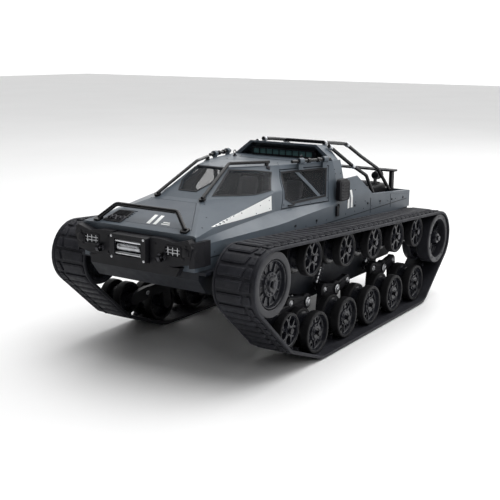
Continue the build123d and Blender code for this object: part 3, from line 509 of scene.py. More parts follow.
def centre_of(node):
    """Middle of a wheel node in (y, z) and its radius, in millimetres."""
    low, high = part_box(node)
    return (low.y + high.y) / 2 / MM, (low.z + high.z) / 2 / MM, (high.z - low.z) / 2 / MM


# ---------------------------------------------------------------- track belts
BELT_GAP, BAND_T, PAD_H = 0.3, 1.6, 1.8
TRACK_IN = 71.0
LINKS = 84
WHEEL_IN, WHEEL_OUT, GROOVE_IN, GROOVE_OUT = 79.0, 105.0, 87.5, 96.5
DRUM_OUT = 111.5


def tangent(a, b):
    """Where a belt leaves circle a and meets circle b (y, z, r), and its outward angle."""
    turn = math.atan2(b[1] - a[1], b[0] - a[0]) + math.acos((a[2] - b[2]) / math.dist(a[:2], b[:2]))
    away = polar(1, turn)
    return [(c[0] + c[2] * away[0], c[1] + c[2] * away[1]) for c in (a, b)] + [turn]


def belt_path():
    """Straight runs and arcs around the wheels that shape the belt, at its inner face."""
    names = ("drive_drum", "idler_drum", "road_wheel_5", "road_wheel_1", "tension_wheel")
    circles = [centre_of(n + "_left") for n in names]
    circles = [(y, z, r + BELT_GAP) for y, z, r in circles]
    runs = [tangent(c, circles[(i + 1) % len(circles)]) for i, c in enumerate(circles)]
    spans = []
    for i, (start, end, turn) in enumerate(runs):
        y, z, r = circles[(i + 1) % len(circles)]
        sweep = (turn - runs[(i + 1) % len(runs)][2]) % (2 * math.pi)
        spans += [(math.dist(start, end), turn, start, end, 0.0), (r * sweep, turn, (y, z), None, r)]
    return spans


SPANS = belt_path()
BELT_LENGTH = sum(span[0] for span in SPANS)


def belt_at(s):
    """Point on the belt's inner face and its outward angle at length s."""
    s %= BELT_LENGTH
    for length, turn, start, end, r in SPANS:
        if s <= length:
            break
        s -= length
    if end is not None:
        t = s / length
        return (start[0] + t * (end[0] - start[0]), start[1] + t * (end[1] - start[1])), turn
    angle = turn - s / r
    return (start[0] + r * math.cos(angle), start[1] + r * math.sin(angle)), angle


def on_link(s):
    """place() on the belt: u across from the inner edge, v along the belt, w out from its inner face."""
    (y, z), angle = belt_at(s)
    out = polar(1, angle)
    return lambda u, v, w: (TRACK_IN + u, y + w * out[0] + v * out[1], z + w * out[1] - v * out[0])


def add_belt(side, sign):
    """Band with raised edges; each link has a long pad, a short block with two grooves, and a guide lug."""
    belt = Build()
    top, edge = BAND_T, BAND_T + 1.1
    band = [(0.4, 0.0), (41.6, 0.0), (42.0, 0.4), (42.0, edge - 0.5), (41.5, edge), (39.6, edge),
            (38.9, edge - 0.3), (38.5, top), (2.3, top), (2.0, edge - 0.3), (1.5, edge), (0.5, edge),
            (0.0, edge - 0.5), (0.0, 0.4)]
    count = LINKS * 5
    rings = []
    for k in range(count):
        place = on_link(BELT_LENGTH * k / count)
        rings.append([place(u, 0, w) for u, w in band])
    belt.solid(rings, closed=True)
    pad = rounded([(3.1, -4.4), (26.6, -4.4), (29.4, 3.6), (28.8, 4.4), (3.1, 4.4)], 1.8, 3)
    block = rounded([(29.6, -4.4), (36.6, -4.4), (36.6, 4.4), (32.4, 4.4)], 1.2, 2)
    ribs = [rounded(box_outline(3.4, 0.8, (34.4, v)), 0.3, 1) for v in (-1.9, 1.9)]
    lug = rounded(box_outline(5.0, 4.0, (21, 0)), 0.7, 2)
    pad_rise = [(0.0, -0.5), (0.0, 0.9), (0.25, 1.15), (0.8, 1.25), (1.1, PAD_H - 0.12), (1.5, PAD_H)]
    block_rise = [(0.0, -0.5), (0.0, 1.0), (0.3, 1.3), (0.9, 1.45)]
    rib_rise = [(0, 1.2), (0.1, 1.75), (0.25, PAD_H)]
    lug_rise = [(0, 0.4), (0, 0), (0.5, -2.6), (1.0, -3.2)]
    step = BELT_LENGTH / LINKS
    for k in range(LINKS):
        lifted = lambda u, v, w, at=on_link(k * step): at(u, v, top + w)
        belt.stack(pad, pad_rise, lifted)
        belt.stack(block, block_rise, lifted)
        for rib in ribs:
            belt.stack(rib, rib_rise, lifted)
        belt.stack(lug, lug_rise, on_link((k + 0.5) * step))
    belt.piece("track_links_" + side, ["rubber"], "chassis", "track_rubber",
               ["track_belt_" + side], 30, sign < 0)


# ---------------------------------------------------------------- wheels
def add_tyre(build, radius, rim):
    """Two rubber rings with shoulders, either side of the groove for the belt's lugs."""
    shoulder = 0.7
    for a, b in ((WHEEL_IN, GROOVE_IN), (GROOVE_OUT, WHEEL_OUT)):
        section = [(a, rim), (a, radius - shoulder), (a + shoulder, radius), (b - shoulder, radius),
                   (b, radius - shoulder), (b, rim)]
        build.lathe(section, steps=64, soft=0.5)


def barrel(rim, floor, face, hollow, hub_in=6.0):
    """Section of a wheel: groove, outer face in (x, radius) steps, bore, and the hollow inboard side."""
    start = [(WHEEL_IN + 0.4, rim + 0.1), (GROOVE_IN, rim + 0.1), (GROOVE_IN, floor), (GROOVE_OUT, floor),
             (GROOVE_OUT, rim + 0.1)]
    return start + face + [(face[-1][0], 2.15), (WHEEL_IN, 2.15), (WHEEL_IN, hub_in), (86.0, hub_in),
                           (86.0, hollow), (WHEEL_IN + 0.4, hollow)]


def carve(mesh, cutters):
    """The mesh with holes cut in it by closed cutter shapes."""
    target = bpy.data.objects.new("carve_target", mesh)
    tool = bpy.data.objects.new("carve_tool", cutters)
    for item in (target, tool):
        bpy.context.collection.objects.link(item)
    cut = target.modifiers.new("cut", "BOOLEAN")
    cut.operation = "DIFFERENCE"
    cut.solver = "EXACT"
    cut.object = tool
    bpy.context.view_layer.update()
    result = bpy.data.meshes.new_from_object(target.evaluated_get(bpy.context.evaluated_depsgraph_get()))
    bpy.data.objects.remove(target)
    bpy.data.objects.remove(tool)
    return result


def road_wheel_mesh(name, radius, mirror):
    """Dished disc with eight holes and ribs, and a bolted hub."""
    wheel = Build()
    face = [(104.5, 17.3), (104.5, 16.9), (103.2, 16.6), (101.2, 16.1), (100.5, 15.2), (100.4, 9.1),
            (101.6, 8.4), (102.7, 8.2), (102.7, 6.7), (103.9, 6.2), (103.9, 3.9), (103.3, 3.5)]
    wheel.lathe(barrel(17.2, 15.4, face, 16.4), steps=64)
    holes = Build()
    for y, z in circle(12.2, 8, 0.5):
        holes.peg((97.4, y, z), (1, 0, 0), [(0, 1.75), (5, 1.75)], 20)
    disc = carve(wheel.mesh(name + "_disc", ["disc"], mirror=False), holes.mesh(name + "_holes", ["disc"]))
    whole = Build()
    whole.bm.from_mesh(disc)
    whole.slot = 1
    add_tyre(whole, radius, 16.9)
    whole.slot = 0
    for k in range(8):
        turn = 2 * math.pi * k / 8
        bar = [polar(8.6, turn - 0.10), polar(15.6, turn - 0.075), polar(15.6, turn + 0.075),
               polar(8.6, turn + 0.10)]
        whole.stack(bar, [(0, 0), (0, 0.7), (0.35, 1.3)], facing_side(100.2))
    whole.slot = 2
    whole.bolt_circle(102.7, 7.45, 8, 0.62, 0.7)
    return whole.mesh(name, ["disc", "tyre", "dark_steel"], mirror=mirror)


def spoked_wheel_mesh(name, radius, mirror):
    """Five forked spokes in a thin rim."""
    wheel = Build()
    rim = radius - 2.0
    face = [(104.4, rim + 0.1), (104.4, rim - 0.5), (103.6, rim - 0.9), (99.8, rim - 1.2), (99.5, rim - 1.8),
            (99.5, 5.2), (103.7, 4.6), (103.7, 3.7), (104.6, 3.5), (104.6, 2.9)]
    wheel.lathe(barrel(rim, radius - 4.6, face, radius - 2.8, 5.0), steps=64)
    for k in range(5):
        turn = math.radians(90 + 72 * k)
        fork = Vector(polar(8.0, turn))
        ahead = Vector(polar(1, turn))
        across = Vector((-ahead.y, ahead.x))
        stem = [ahead * 3.6 - across * 1.9, fork - across * 1.5, fork + ahead * 0.9, fork + across * 1.5,
                ahead * 3.6 + across * 1.9]
        wheel.stack([tuple(p) for p in stem], [(0, 0), (0, 2.9), (0.45, 3.9)], facing_side(99.4))
        for spread in (-0.33, 0.33):
            prong = taper(fork, Vector(polar(rim - 0.6, turn + spread)), 1.25, 0.85)
            wheel.stack(prong, [(0, 0), (0, 2.8), (0.35, 3.7)], facing_side(99.4))
    wheel.slot = 1
    add_tyre(wheel, radius, rim - 0.2)
    wheel.slot = 2
    wheel.bolt_circle(99.5, 10.6, 5, 0.7, 0.8, 1.75)
    return wheel.mesh(name, ["disc", "tyre", "dark_steel"], mirror=mirror)


def drum_rings(wheel, radius, lip):
    """Inner and outer rings that carry the belt; the outer one ends in a wide smooth flange down to lip."""
    wheel.lathe([(WHEEL_IN, 24.9), (WHEEL_IN, radius - 0.9), (WHEEL_IN + 0.6, radius),
                 (GROOVE_IN - 0.6, radius), (GROOVE_IN, radius - 0.9), (GROOVE_IN, 24.9)], steps=96, soft=0.5)
    wheel.lathe([(GROOVE_OUT, 25.0), (GROOVE_OUT, radius - 0.9), (GROOVE_OUT + 0.6, radius), (110.7, radius),
                 (DRUM_OUT, radius - 0.8), (DRUM_OUT, lip + 0.7), (DRUM_OUT - 0.6, lip), (102.0, lip - 0.2),
                 (102.0, 25.0)], steps=96, soft=0.6)


def drive_drum_mesh(name, radius, mirror):
    """Stepped dish with a raised ring, twelve webs and a bolted hub."""
    wheel = Build()
    face = [(103.0, 25.0), (103.0, 21.4), (109.4, 21.2), (109.5, 20.7), (110.5, 20.4), (110.7, 19.7),
            (109.9, 19.3), (107.1, 18.7), (106.5, 17.9), (106.5, 11.4), (107.8, 10.7), (109.0, 10.3),
            (109.0, 7.0), (110.1, 6.6), (111.2, 6.1), (111.2, 3.6), (110.5, 3.3)]
    wheel.lathe(barrel(25.0, 23.4, face, 21.5, 8.0), steps=96)
    for k in range(12):
        turn = 2 * math.pi * k / 12
        web = [polar(11.2, turn - 0.055), polar(18.4, turn - 0.045), polar(18.4, turn + 0.045),
               polar(11.2, turn + 0.055)]
        wheel.stack(web, [(0, 0), (0, 0.8), (0.3, 1.3)], facing_side(106.4))
    wheel.slot = 1
    drum_rings(wheel, radius, 21.3)
    wheel.slot = 2
    wheel.bolt_circle(109.0, 8.7, 12, 0.8, 0.7)
    wheel.bolt_circle(106.5, 14.8, 6, 0.9, 0.7)
    return wheel.mesh(name, ["disc", "wheel", "dark_steel"], mirror=mirror)


def idler_drum_mesh(name, radius, mirror):
    """Open flange ring with screws around a deep recess with six spokes."""
    wheel = Build()
    face = [(103.0, 25.0), (103.0, 21.6), (101.0, 21.2), (100.5, 20.6), (100.5, 7.4), (108.0, 6.0),
            (110.7, 5.4), (111.1, 4.8), (111.1, 3.2)]
    wheel.lathe(barrel(25.0, 23.4, face, 21.5, 8.0), steps=96)
    for ahead in map(Vector, circle(1, 6, 0.5)):
        spoke = taper(ahead * 5.5, ahead * 21.6, 2.1, 1.5)
        wheel.stack(spoke, [(0, 0), (0, 2.2), (0.5, 3.2)], facing_side(100.4))
    wheel.slot = 1
    drum_rings(wheel, radius, 21.8)
    wheel.slot = 2
    wheel.bolt_circle(DRUM_OUT, 24.6, 10, 0.8, 0.6)
    return wheel.mesh(name, ["disc", "wheel", "dark_steel"], mirror=mirror)


WHEELS = [("road_wheel_%d" % n, road_wheel_mesh) for n in range(1, 6)]
WHEELS += [("return_roller_%d" % n, spoked_wheel_mesh) for n in range(1, 6)]
WHEELS += [("tension_wheel", spoked_wheel_mesh), ("drive_drum", drive_drum_mesh),
           ("idler_drum", idler_drum_mesh)]


def add_wheels():
    """Wheels of one shape and size on one side share a mesh."""
    made = {}
    for side, sign in SIDES:
        for node, shape in WHEELS:
            y, z, radius = centre_of(node + "_" + side)
            key = (shape.__name__, round(radius, 1), side)
            if key not in made:
                made[key] = shape(node + "_look_" + side, radius, sign < 0)
            add_piece("look_" + node + "_" + side, made[key], node + "_" + side,
                      [node + "_" + side], (0, y * MM, z * MM))


# ---------------------------------------------------------------- axle caps and springs
CAP_RADII = {"drive_drum": 3.0, "idler_drum": 2.9} | {"return_roller_%d" % n: 2.6 for n in range(1, 6)}


def add_axle_caps():
    """Domed caps with a small hexagon, over the axle ends."""
    for side, sign in SIDES:
        for node, radius in CAP_RADII.items():
            y, z, _ = centre_of(node + "_" + side)
            out = sign * (DRUM_OUT - 0.3 if "drum" in node else WHEEL_OUT + 0.4)
            dome = [(0, radius * 0.9), (0.3, radius), (1.0, radius), (1.45, radius * 0.86),
                    (1.7, radius * 0.5)]
            cap = Build()
            cap.peg((out, y, z), (sign, 0, 0), dome, 24)
            cap.peg((out + sign * 1.5, y, z), (sign, 0, 0), [(0, 1.0), (0.25, 1.0), (0.3, 0.7)], 6)
            cap.piece("cap_" + node + "_" + side, ["dark_steel"], "chassis", "steel_dark")


# Pivot and the two axles of each rocking arm, in (y, z).
ARMS = {"front_arm": ((-50.0, 43.0), (-79.7, 48.0), (-107.6, 41.0)),
        "front_bogie": ((8.35, 43.0), (-14.9, 47.0), (31.6, 47.0)),
        "rear_bogie": ((116.7, 43.0), (92.3, 47.0), (141.1, 47.0))}
ARM_FACE = 77.5
SHOCK_X, SHOCK_RISE = 66.0, Vector((0, 20.0, 38.0))


def coil_points(low, along, length):
    """Wire of a coil spring round a damper that stands on low."""
    start, turns, per_turn, radius = 5.6, 7.2, 16, 3.05
    across = along.cross(Vector((1, 0, 0)))
    points = []
    for k in range(int(turns * per_turn) + 1):
        t = k / (turns * per_turn)
        a, b = polar(radius, 2 * math.pi * turns * t)
        points.append(low + along * (start + t * (length - 16.4)) + Vector((a, 0, 0)) + across * b)
    return points


def draw_damper(body, low):
    """Foot, threaded body, ball ends and rod."""
    high, along = low + SHOCK_RISE, SHOCK_RISE.normalized()
    body.slot = 0
    body.peg(low + along * 2.2, along, [(0, 1.2), (1.2, 3.2), (1.9, 3.6), (2.7, 3.6), (3.0, 2.0)], 24)
    sleeve = [(0, 1.6), (0.8, 3.0), (1.6, 3.4), (5.4, 3.4), (6.0, 3.7), (7.0, 3.7), (7.4, 2.6), (18, 2.5),
              (18.6, 1.6)]
    body.peg(high - along * 2.4, -along, sleeve, 24)
    thread = [(0, 2.5), (0.15, 2.75), (0.45, 2.75), (0.6, 2.5)]
    for k in range(6):
        body.peg(high - along * (9.6 + 0.9 * k), -along, thread, 24)
    ball = [(0, 0.9), (0.6, 1.6), (1.9, 1.9), (3.2, 1.6), (3.8, 0.9)]
    for eye in (low, high):
        body.slot = 0
        body.tube([eye + Vector((0, *p)) for p in circle(2.1, 20)], 0.9, 10, closed=True)
        body.slot = 1
        body.peg(eye - Vector((1.9, 0, 0)), (1, 0, 0), ball, 16)
    body.peg(low + along * 2.6, along, [(0, 1.05), (24, 1.05)], 16)


def add_shocks():
    """Coil-over dampers, on the inner axle of each rocking arm."""
    for side, sign in SIDES:
        body, spring = Build(), Build()
        for _, foot, _ in ARMS.values():
            low = Vector((sign * SHOCK_X, *foot))
            draw_damper(body, low)
            spring.tube(coil_points(low, SHOCK_RISE.normalized(), SHOCK_RISE.length), 0.5, 8)
        body.piece("damper_bodies_" + side, ["black", "steel"], "chassis", "shock_metal",
                   ["shock_absorbers"] if sign > 0 else ())
        spring.piece("coil_springs_" + side, ["dark_steel"], "chassis", "shock_metal")


def add_arm_trim(name, spots, side, sign):
    """Ribs from the pivot to each axle, and the axles' bolts and collars, on one rocking arm."""
    trim = Build()
    middle = Vector(spots[0])
    for spot in map(Vector, spots[1:]):
        run = (spot - middle).normalized()
        over = Vector((-run.y, run.x))
        for gap in (-2.6, 2.6):
            rib = taper(middle + run * 7.0 + over * gap, spot - run * 3.6 + over * gap, 0.5, 0.5)
            trim.stack(rib, [(0, -0.3), (0, 0.6), (0.25, 0.9)], facing_side(ARM_FACE, side=sign))
    trim.slot = 1
    for spot in spots[1:]:
        trim.hex_bolt((sign * ARM_FACE, *spot), (sign, 0, 0), 1.9, 1.2)
        trim.peg((sign * 71.9, *spot), (-sign, 0, 0), [(0, 2.2), (0.6, 2.2), (0.8, 1.8)], 18)
    trim.piece("trim_" + name + "_" + side, ["arm", "steel"], name + "_" + side, "black_plastic")


def add_arm_details():
    """Arm trim, pivot bolts, and the rod that braces the drive drum's mount."""
    for side, sign in SIDES:
        for name, spots in ARMS.items():
            add_arm_trim(name, spots, side, sign)
        pivots = Build()
        for at, _, _ in ARMS.values():
            pivots.peg((sign * 78.4, *at), (sign, 0, 0), [(0, 4.6), (0.5, 4.6), (0.9, 4.1)], 28)
            pivots.hex_bolt((sign * 79.2, *at), (sign, 0, 0), 2.6, 1.3)
        pivots.piece("pivot_bolts_" + side, ["steel"], "chassis", "steel")
        link = Build()
        link.tube([(sign * 63.5, -58, 47), (sign * 64.6, -100, 62), (sign * 64.6, -128, 76)], 1.1, 10)
        end = [(-1.4, 1.8), (1.5, 1.8), (3.4, 2.5), (4.6, 2.2), (5.0, 1.2)]
        for at in ((-58, 47), (-128, 76)):
            link.peg((sign * 61.2, *at), (sign, 0, 0), end, 16)
        link.piece("brace_rod_" + side, ["steel"], "chassis", "steel")


# ---------------------------------------------------------------- laying details on the body
DOWN = (0, 0, -1)


def surface(*nodes):
    """Search tree over CAD nodes, to lay details on them."""
    bm = bmesh.new()
    for node in nodes:
        bm.from_mesh(NODES[node].data)
    tree = BVHTree.FromBMesh(bm)
    bm.free()
    return tree


BODY = surface("body_shell", "hood_panel", "door_left", "door_right")


def touch(point, inward, tree=None):
    """Where a ray from an outside point, going inward, meets the body, and the normal there."""
    inward = Vector(inward).normalized()
    start = Vector(point) * MM - inward * 0.03
    spot, normal, _, _ = (tree or BODY).ray_cast(start, inward, 0.08)
    if spot is None:
        return None, None
    if normal.dot(inward) > 0:
        normal = -normal
    return spot / MM, normal


def stud(build, point, inward, radius, tree=None):
    """Rivet where a ray from point meets the body."""
    spot, normal = touch(point, inward, tree)
    if spot:
        build.rivet(spot, normal, radius)


def drape(build, outline, inward, height, sink=0.35, cuts=3, tree=None, hole=None):
    """Thin plate of an outline of 3-D points, pressed onto the body along inward, height proud of it."""
    inward = Vector(inward).normalized()
    bm = bmesh.new()
    ring = [bm.verts.new(Vector(p)) for p in outline]
    if hole:
        inner = [bm.verts.new(Vector(p)) for p in hole]
        count = len(ring)
        for i in range(count):
            j = (i + 1) % count
            bm.faces.new((ring[i], ring[j], inner[j], inner[i]))
    else:
        bm.faces.new(ring)
        bmesh.ops.triangulate(bm, faces=bm.faces)
    for _ in range(cuts):
        longest = [e for e in bm.edges if e.calc_length() > 2.5]
        if longest:
            bmesh.ops.subdivide_edges(bm, edges=longest, cuts=1, use_grid_fill=False)
            bmesh.ops.triangulate(bm, faces=bm.faces)
    bm.verts.ensure_lookup_table()
    tops, lows = {}, {}
    for v in bm.verts:
        spot, _ = touch(v.co, inward, tree)
        if spot is None:
            spot = v.co.copy()
        tops[v.index] = build.bm.verts.new((spot - inward * height) * MM)
        lows[v.index] = build.bm.verts.new((spot + inward * sink) * MM)
    for f in bm.faces:
        ids = [v.index for v in f.verts]
        for table, order in ((tops, ids), (lows, ids[::-1])):
            face = build.bm.faces.new([table[i] for i in order])
            face.material_index = build.slot
    for e in bm.edges:
        if len(e.link_faces) == 1:
            a, b = (v.index for v in e.verts)
            face = build.bm.faces.new((tops[a], tops[b], lows[b], lows[a]))
            face.material_index = build.slot
    bm.free()


def grown(points, amount):
    """A flat outline of 3-D points with its edges moved outward by amount."""
    points = [Vector(p) for p in points]
    middle = sum(points, Vector()) / len(points)
    normal = (points[0] - middle).cross(points[1] - middle).normalized()
    out = []
    for i, point in enumerate(points):
        before, after = points[i - 1], points[(i + 1) % len(points)]
        a = (point - before).normalized().cross(normal)
        b = (after - point).normalized().cross(normal)
        if a.dot(point - middle) < 0:
            a = -a
        if b.dot(point - middle) < 0:
            b = -b
        bisector = (a + b).normalized()
        out.append(tuple(point + bisector * amount / max(0.4, bisector.dot(a))))
    return out


OUTSIDE = 90.0      # x of a plane outside the body
ABOVE = 175         # z of a plane above the roof


def on_side(points, side):
    """(y, z) points moved outside the body, from where they are pressed onto it."""
    return [(side * OUTSIDE, y, z) for y, z in points]


def window_frame(build, points, inward, width, height):
    drape(build, grown(points, width), inward, height, hole=grown(points, 0.05))


CENTRE_PANE = [(15.2, -98.5, 170.5), (15.6, -120.0, 160.2), (9.0, -133.5, 153.7),
               (-9.0, -133.5, 153.7), (-15.6, -120.0, 160.2), (-15.2, -98.5, 170.5)]
QUARTER_PANE = [(20.2, -97.2, 168.9), (41.0, -59.5, 165.1), (50.4, -76.0, 151.5), (45.5, -95.0, 148.9),
                (27.0, -130.5, 151.2)]
DOOR = [(-66, 131.8), (8.6, 130.4), (19.5, 165.0), (-47.0, 166.4)]
DOOR_WINDOW = [(-54.0, 141.5), (-45.5, 136.6), (4.0, 137.6), (13.0, 161.5), (-45.5, 162.5)]
CHEEK_PATCH = [(-178, 133.9), (-134, 140.0), (-79.5, 146.7), (-80.5, 133.6), (-133, 133.2)]


def outward_of(points):
    points = [Vector(p) for p in points]
    normal = (points[1] - points[0]).cross(points[2] - points[0]).normalized()
    return normal if normal.z > 0 else -normal


HANDLE = [(-4.5, -0.3), (-4.3, 1.3), (-3.3, 2.0), (3.3, 2.0), (4.3, 1.3), (4.5, -0.3)]
DOOR_STUDS = [(-60, 135.5), (-52, 150.5), (-44.6, 163.9), (12.9, 151.0), (7.6, 134.2), (-20, 133.2),
              (15.8, 162.6)]


def add_door_trim(side, sign):
    """Window frame, a line round the door's edge, a pull handle and studs."""
    trim = Build()
    tree = surface("door_" + side)
    inward = (-sign, 0, 0)
    pane, edge = on_side(DOOR_WINDOW, sign), on_side(DOOR, sign)
    drape(trim, grown(pane, 1.9), inward, 0.55, hole=grown(pane, 0.1), tree=tree)
    trim.slot = 1
    drape(trim, grown(edge, -1.3), inward, 0.22, hole=grown(edge, -2.2), tree=tree)
    trim.slot = 0
    handle, _ = touch((sign * OUTSIDE, -49.5, 134.2), inward, tree)
    trim.tube([handle + Vector((sign * out, y, 0)) for y, out in HANDLE], 0.65, 10)
    trim.slot = 2
    for point in on_side(DOOR_STUDS, sign):
        stud(trim, point, inward, 0.75, tree)
    trim.piece("door_trim_" + side, ["black", "hood", "dark_steel"], "door_" + side, "black_plastic")


def add_windows():
    gasket = Build()
    window_frame(gasket, CENTRE_PANE, -outward_of(CENTRE_PANE), 1.5, 0.5)
    for _, sign in SIDES:
        pane = [(sign * x, y, z) for x, y, z in QUARTER_PANE]
        window_frame(gasket, pane, -outward_of(pane), 1.5, 0.5)
    gasket.piece("window_gaskets", ["black"], "chassis", "black_plastic")
    for side, sign in SIDES:
        add_door_trim(side, sign)


def slab(x, y, wide, deep, lean=0.0):
    """Outline above the body, wide along x and deep along y, with its far edge shifted by lean."""
    return [(x, y, 160), (x + wide, y, 160), (x + wide + lean, y + deep, 160), (x + lean, y + deep, 160)]


def add_body_marks():
    """Plain white patches and bars: a pointed cheek patch, four hood bars and two side bars."""
    marks = Build()
    for _, sign in SIDES:
        drape(marks, on_side(CHEEK_PATCH, sign), (-sign, 0, 0), 0.14, cuts=6)
        for y in (43.5, 50.5):
            bar = [(y, 118.6), (y + 4.0, 118.6), (y + 4.6, 136.6), (y + 0.6, 136.6)]
            drape(marks, on_side(bar, sign), (-sign, 0, 0), 0.14, cuts=5)
    for x, y, wide, deep in ((2.2, -194.6, 3.6, 15.5), (9.2, -194.6, 3.6, 15.5), (17.0, -193.2, 9.0, 1.5),
                             (17.0, -190.4, 7.0, 1.5)):
        drape(marks, slab(x, y, wide, deep, -3.0 * deep / 15.5), DOWN, 0.14, cuts=4)
    marks.piece("plain_marks", ["white"], "chassis", "body_paint")


def add_panel_seams():
    seams = Build()
    for _, sign in SIDES:
        belt = [(-196, 109.5), (190, 109.5), (190, 110.3), (-196, 110.3)]
        drape(seams, on_side(belt, sign), (-sign, 0, 0), 0.18, cuts=7)
        frame_line = [(42.5, 124.5), (43.2, 124.5), (44.2, 150.0), (43.5, 150.0)]
        drape(seams, on_side(frame_line, sign), (-sign, 0, 0), 0.18, cuts=4)
        for y in (96.0, 146.0):
            line = [(y, 106), (y + 0.7, 106), (y + 0.7, 123), (y, 123)]
            drape(seams, on_side(line, sign), (-sign, 0, 0), 0.18, cuts=4)
    for y in (-4.0, 20.0):
        drape(seams, slab(-33, y, 66, 0.8), DOWN, 0.2, cuts=5)
    seams.piece("panel_seams", ["hull"], "chassis", "body_paint")


SIDE_STUDS = [(-160.7, 135.3), (-132, 138.6), (-100, 140.6), (-84, 143.0), (-84, 135.6), (-108, 134.6),
              (38, 155), (46, 147), (62.8, 135.6), (27, 160), (27, 156), (61.9, 122.9), (83.6, 121.1)]
SIDE_STUDS += [(y, 113.6) for y in range(-180, 190, 20)]
TOP_STUDS = [(24, -144), (30, -149), (46, -168), (55, -186), (30, -30), (36, 4), (20, -70), (8, -92),
             (12, 22), (50, 20), (38, -42)]


def add_body_rivets():
    studs = Build()
    for _, sign in SIDES:
        for point in on_side(SIDE_STUDS, sign):
            stud(studs, point, (-sign, 0, 0), 0.7)
        for x, y in TOP_STUDS:
            stud(studs, (sign * x, y, 165), DOWN, 0.7)
    studs.piece("body_rivets", ["dark_steel"], "chassis", "steel_dark")


def add_roof_fittings():
    """Square window latches, and ring bolts on the roof."""
    fittings = Build()
    for _, sign in SIDES:
        spot, normal = touch((sign * 36.6, -57.5, ABOVE), DOWN)
        fittings.peg(spot, normal, [(-0.4, 2.6), (0.9, 2.6), (1.2, 2.2)], 4, math.pi / 4)
        fittings.hex_bolt(spot + normal * 1.1, normal, 0.8, 0.5)
        spot, normal = touch((sign * 40.0, -2.0, ABOVE), DOWN)
        fittings.peg(spot, normal, [(-0.4, 2.2), (0.6, 2.2), (1.0, 1.6), (2.4, 1.2), (2.6, 0.8)], 16)
        fittings.tube([spot + Vector((0, y, 4.3 + z)) for y, z in circle(1.9, 24)], 0.45, 8, closed=True)
    fittings.piece("roof_fittings", ["dark_steel"], "chassis", "steel_dark")


# The hood's plane: a point on it, and its run along y and rise in z.
HOOD_FOOT, HOOD_RUN = Vector((0, -204.0, 130.5)), Vector((0, 59.6, 17.9))


def add_hood_vent():
    """Black grille with two round fans and bars, on the hood's right half."""
    slope, across = HOOD_RUN.normalized(), Vector((1, 0, 0))
    normal = across.cross(slope)

    def on_hood(x, y, lift=0.0):
        rise = HOOD_RUN.z / HOOD_RUN.y * (y - HOOD_FOOT.y)
        return Vector((x, y, HOOD_FOOT.z + rise)) + normal * lift

    vent = Build()
    corners = rounded([(-43, -200), (-22, -200), (-24, -179), (-41, -179)], 2.0, 3)
    vent.stack(corners, [(0, -0.4), (0, 0.5), (0.5, 0.9), (1.8, 0.9), (2.2, 0.45)], on_hood)
    vent.slot = 1
    for x in (-37.4, -27.6):
        base = on_hood(x, -193.6, 0.8)
        vent.tube([base + across * p + slope * q for p, q in circle(4.2, 32)], 0.6, 8, closed=True)
        vent.peg(base, normal, [(-0.4, 1.2), (0.6, 1.2), (0.9, 0.7)], 16)
        for a, b in zip(circle(1.0, 7), circle(4.0, 7, 0.35 * 7 / (2 * math.pi))):
            vent.tube([base + across * a[0] + slope * a[1] + normal * 0.3,
                       base + across * b[0] + slope * b[1]], [0.35, 0.55], 6)
    vent.slot = 0
    for k in range(4):
        y = -187.6 + 2.1 * k
        vent.tube([on_hood(-40.2, y, 0.9), on_hood(-24.8, y, 0.9)], 0.55, 8)
    vent.piece("hood_grille", ["black", "dark_steel"], "chassis", "black_plastic")


# ---------------------------------------------------------------- front end
BUMPER_FACE = -212.0
ROLLER_Y = -214.9
LAMP = (44.5, 117.5)
TOW_HOLE = (33.8, -214.6, 111.5)


def on_bumper(sign, shift=0.0):
    """place() for plates that face forward on the bumper."""
    return lambda a, b, h: (sign * (a + shift), BUMPER_FACE - h, b)


def add_winch_details():
    """Four guide rollers, corner bolts and a wound rope."""
    rollers = Build()
    for z in (109.8, 120.6):
        rollers.peg((-14.2, ROLLER_Y, z), (1, 0, 0), [(0, 1.35), (0.8, 1.55), (27.6, 1.55), (28.4, 1.35)], 24)
    for x in (-15.8, 15.8):
        rollers.peg((x, ROLLER_Y, 109.8), (0, 0, 1), [(0, 1.1), (0.5, 1.35), (10.3, 1.35), (10.8, 1.1)], 20)
    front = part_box("winch")[0].y / MM
    for x in (-17.6, 17.6):
        for z in (106.2, 124.2):
            rollers.hex_bolt((x, front, z), (0, -1, 0), 0.8, 0.5)
    rollers.piece("winch_rollers", ["steel"], "chassis", "steel")
    rope = Build()
    wound = []
    turns, width, per_turn = 17, 25.0, 16
    for k in range(turns * per_turn + 1):
        t = k / (turns * per_turn)
        y, z = polar(2.9, 2 * math.pi * turns * t)
        wound.append((-width / 2 + width * t, -212.6 + y, 115.2 + z))
    rope.tube(wound, 0.75, 8)
    rope.piece("winch_rope", ["alloy"], "chassis", "steel")


def add_lamps():
    """Hollow lamp bezels with wire guards."""
    lamps, guards = Build(), Build()
    outer = rounded(box_outline(17.6, 9.6, LAMP), 1.6)
    for _, sign in SIDES:
        place = on_bumper(sign)

        def ring(wide, high, h):
            return [place(LAMP[0] + (u - LAMP[0]) * wide, LAMP[1] + (v - LAMP[1]) * high, h)
                    for u, v in outer]

        steps = ((0, -0.4), (0, 0.5), (0.4, 0.9), (0.9, 0.9), (1.15, 0.2), (1.15, -1.5))
        rings = [ring(1 - inset / 8.8, 1 - inset / 4.8, h) for inset, h in steps]
        lamps.solid(rings + [ring(0.84, 0.72, -2.0)])
        for x in (39.6, 44.5, 49.4):
            guards.tube([place(x, 114.2, 0.05), place(x, 120.8, 0.05)], 0.3, 6)
        for z in (116.2, 118.8):
            guards.tube([place(37.4, z, 0.05), place(51.6, z, 0.05)], 0.3, 6)
    lamps.piece("lamp_bezels", ["black"], "chassis", "black_plastic")
    guards.piece("lamp_guards", ["steel"], "chassis", "steel")


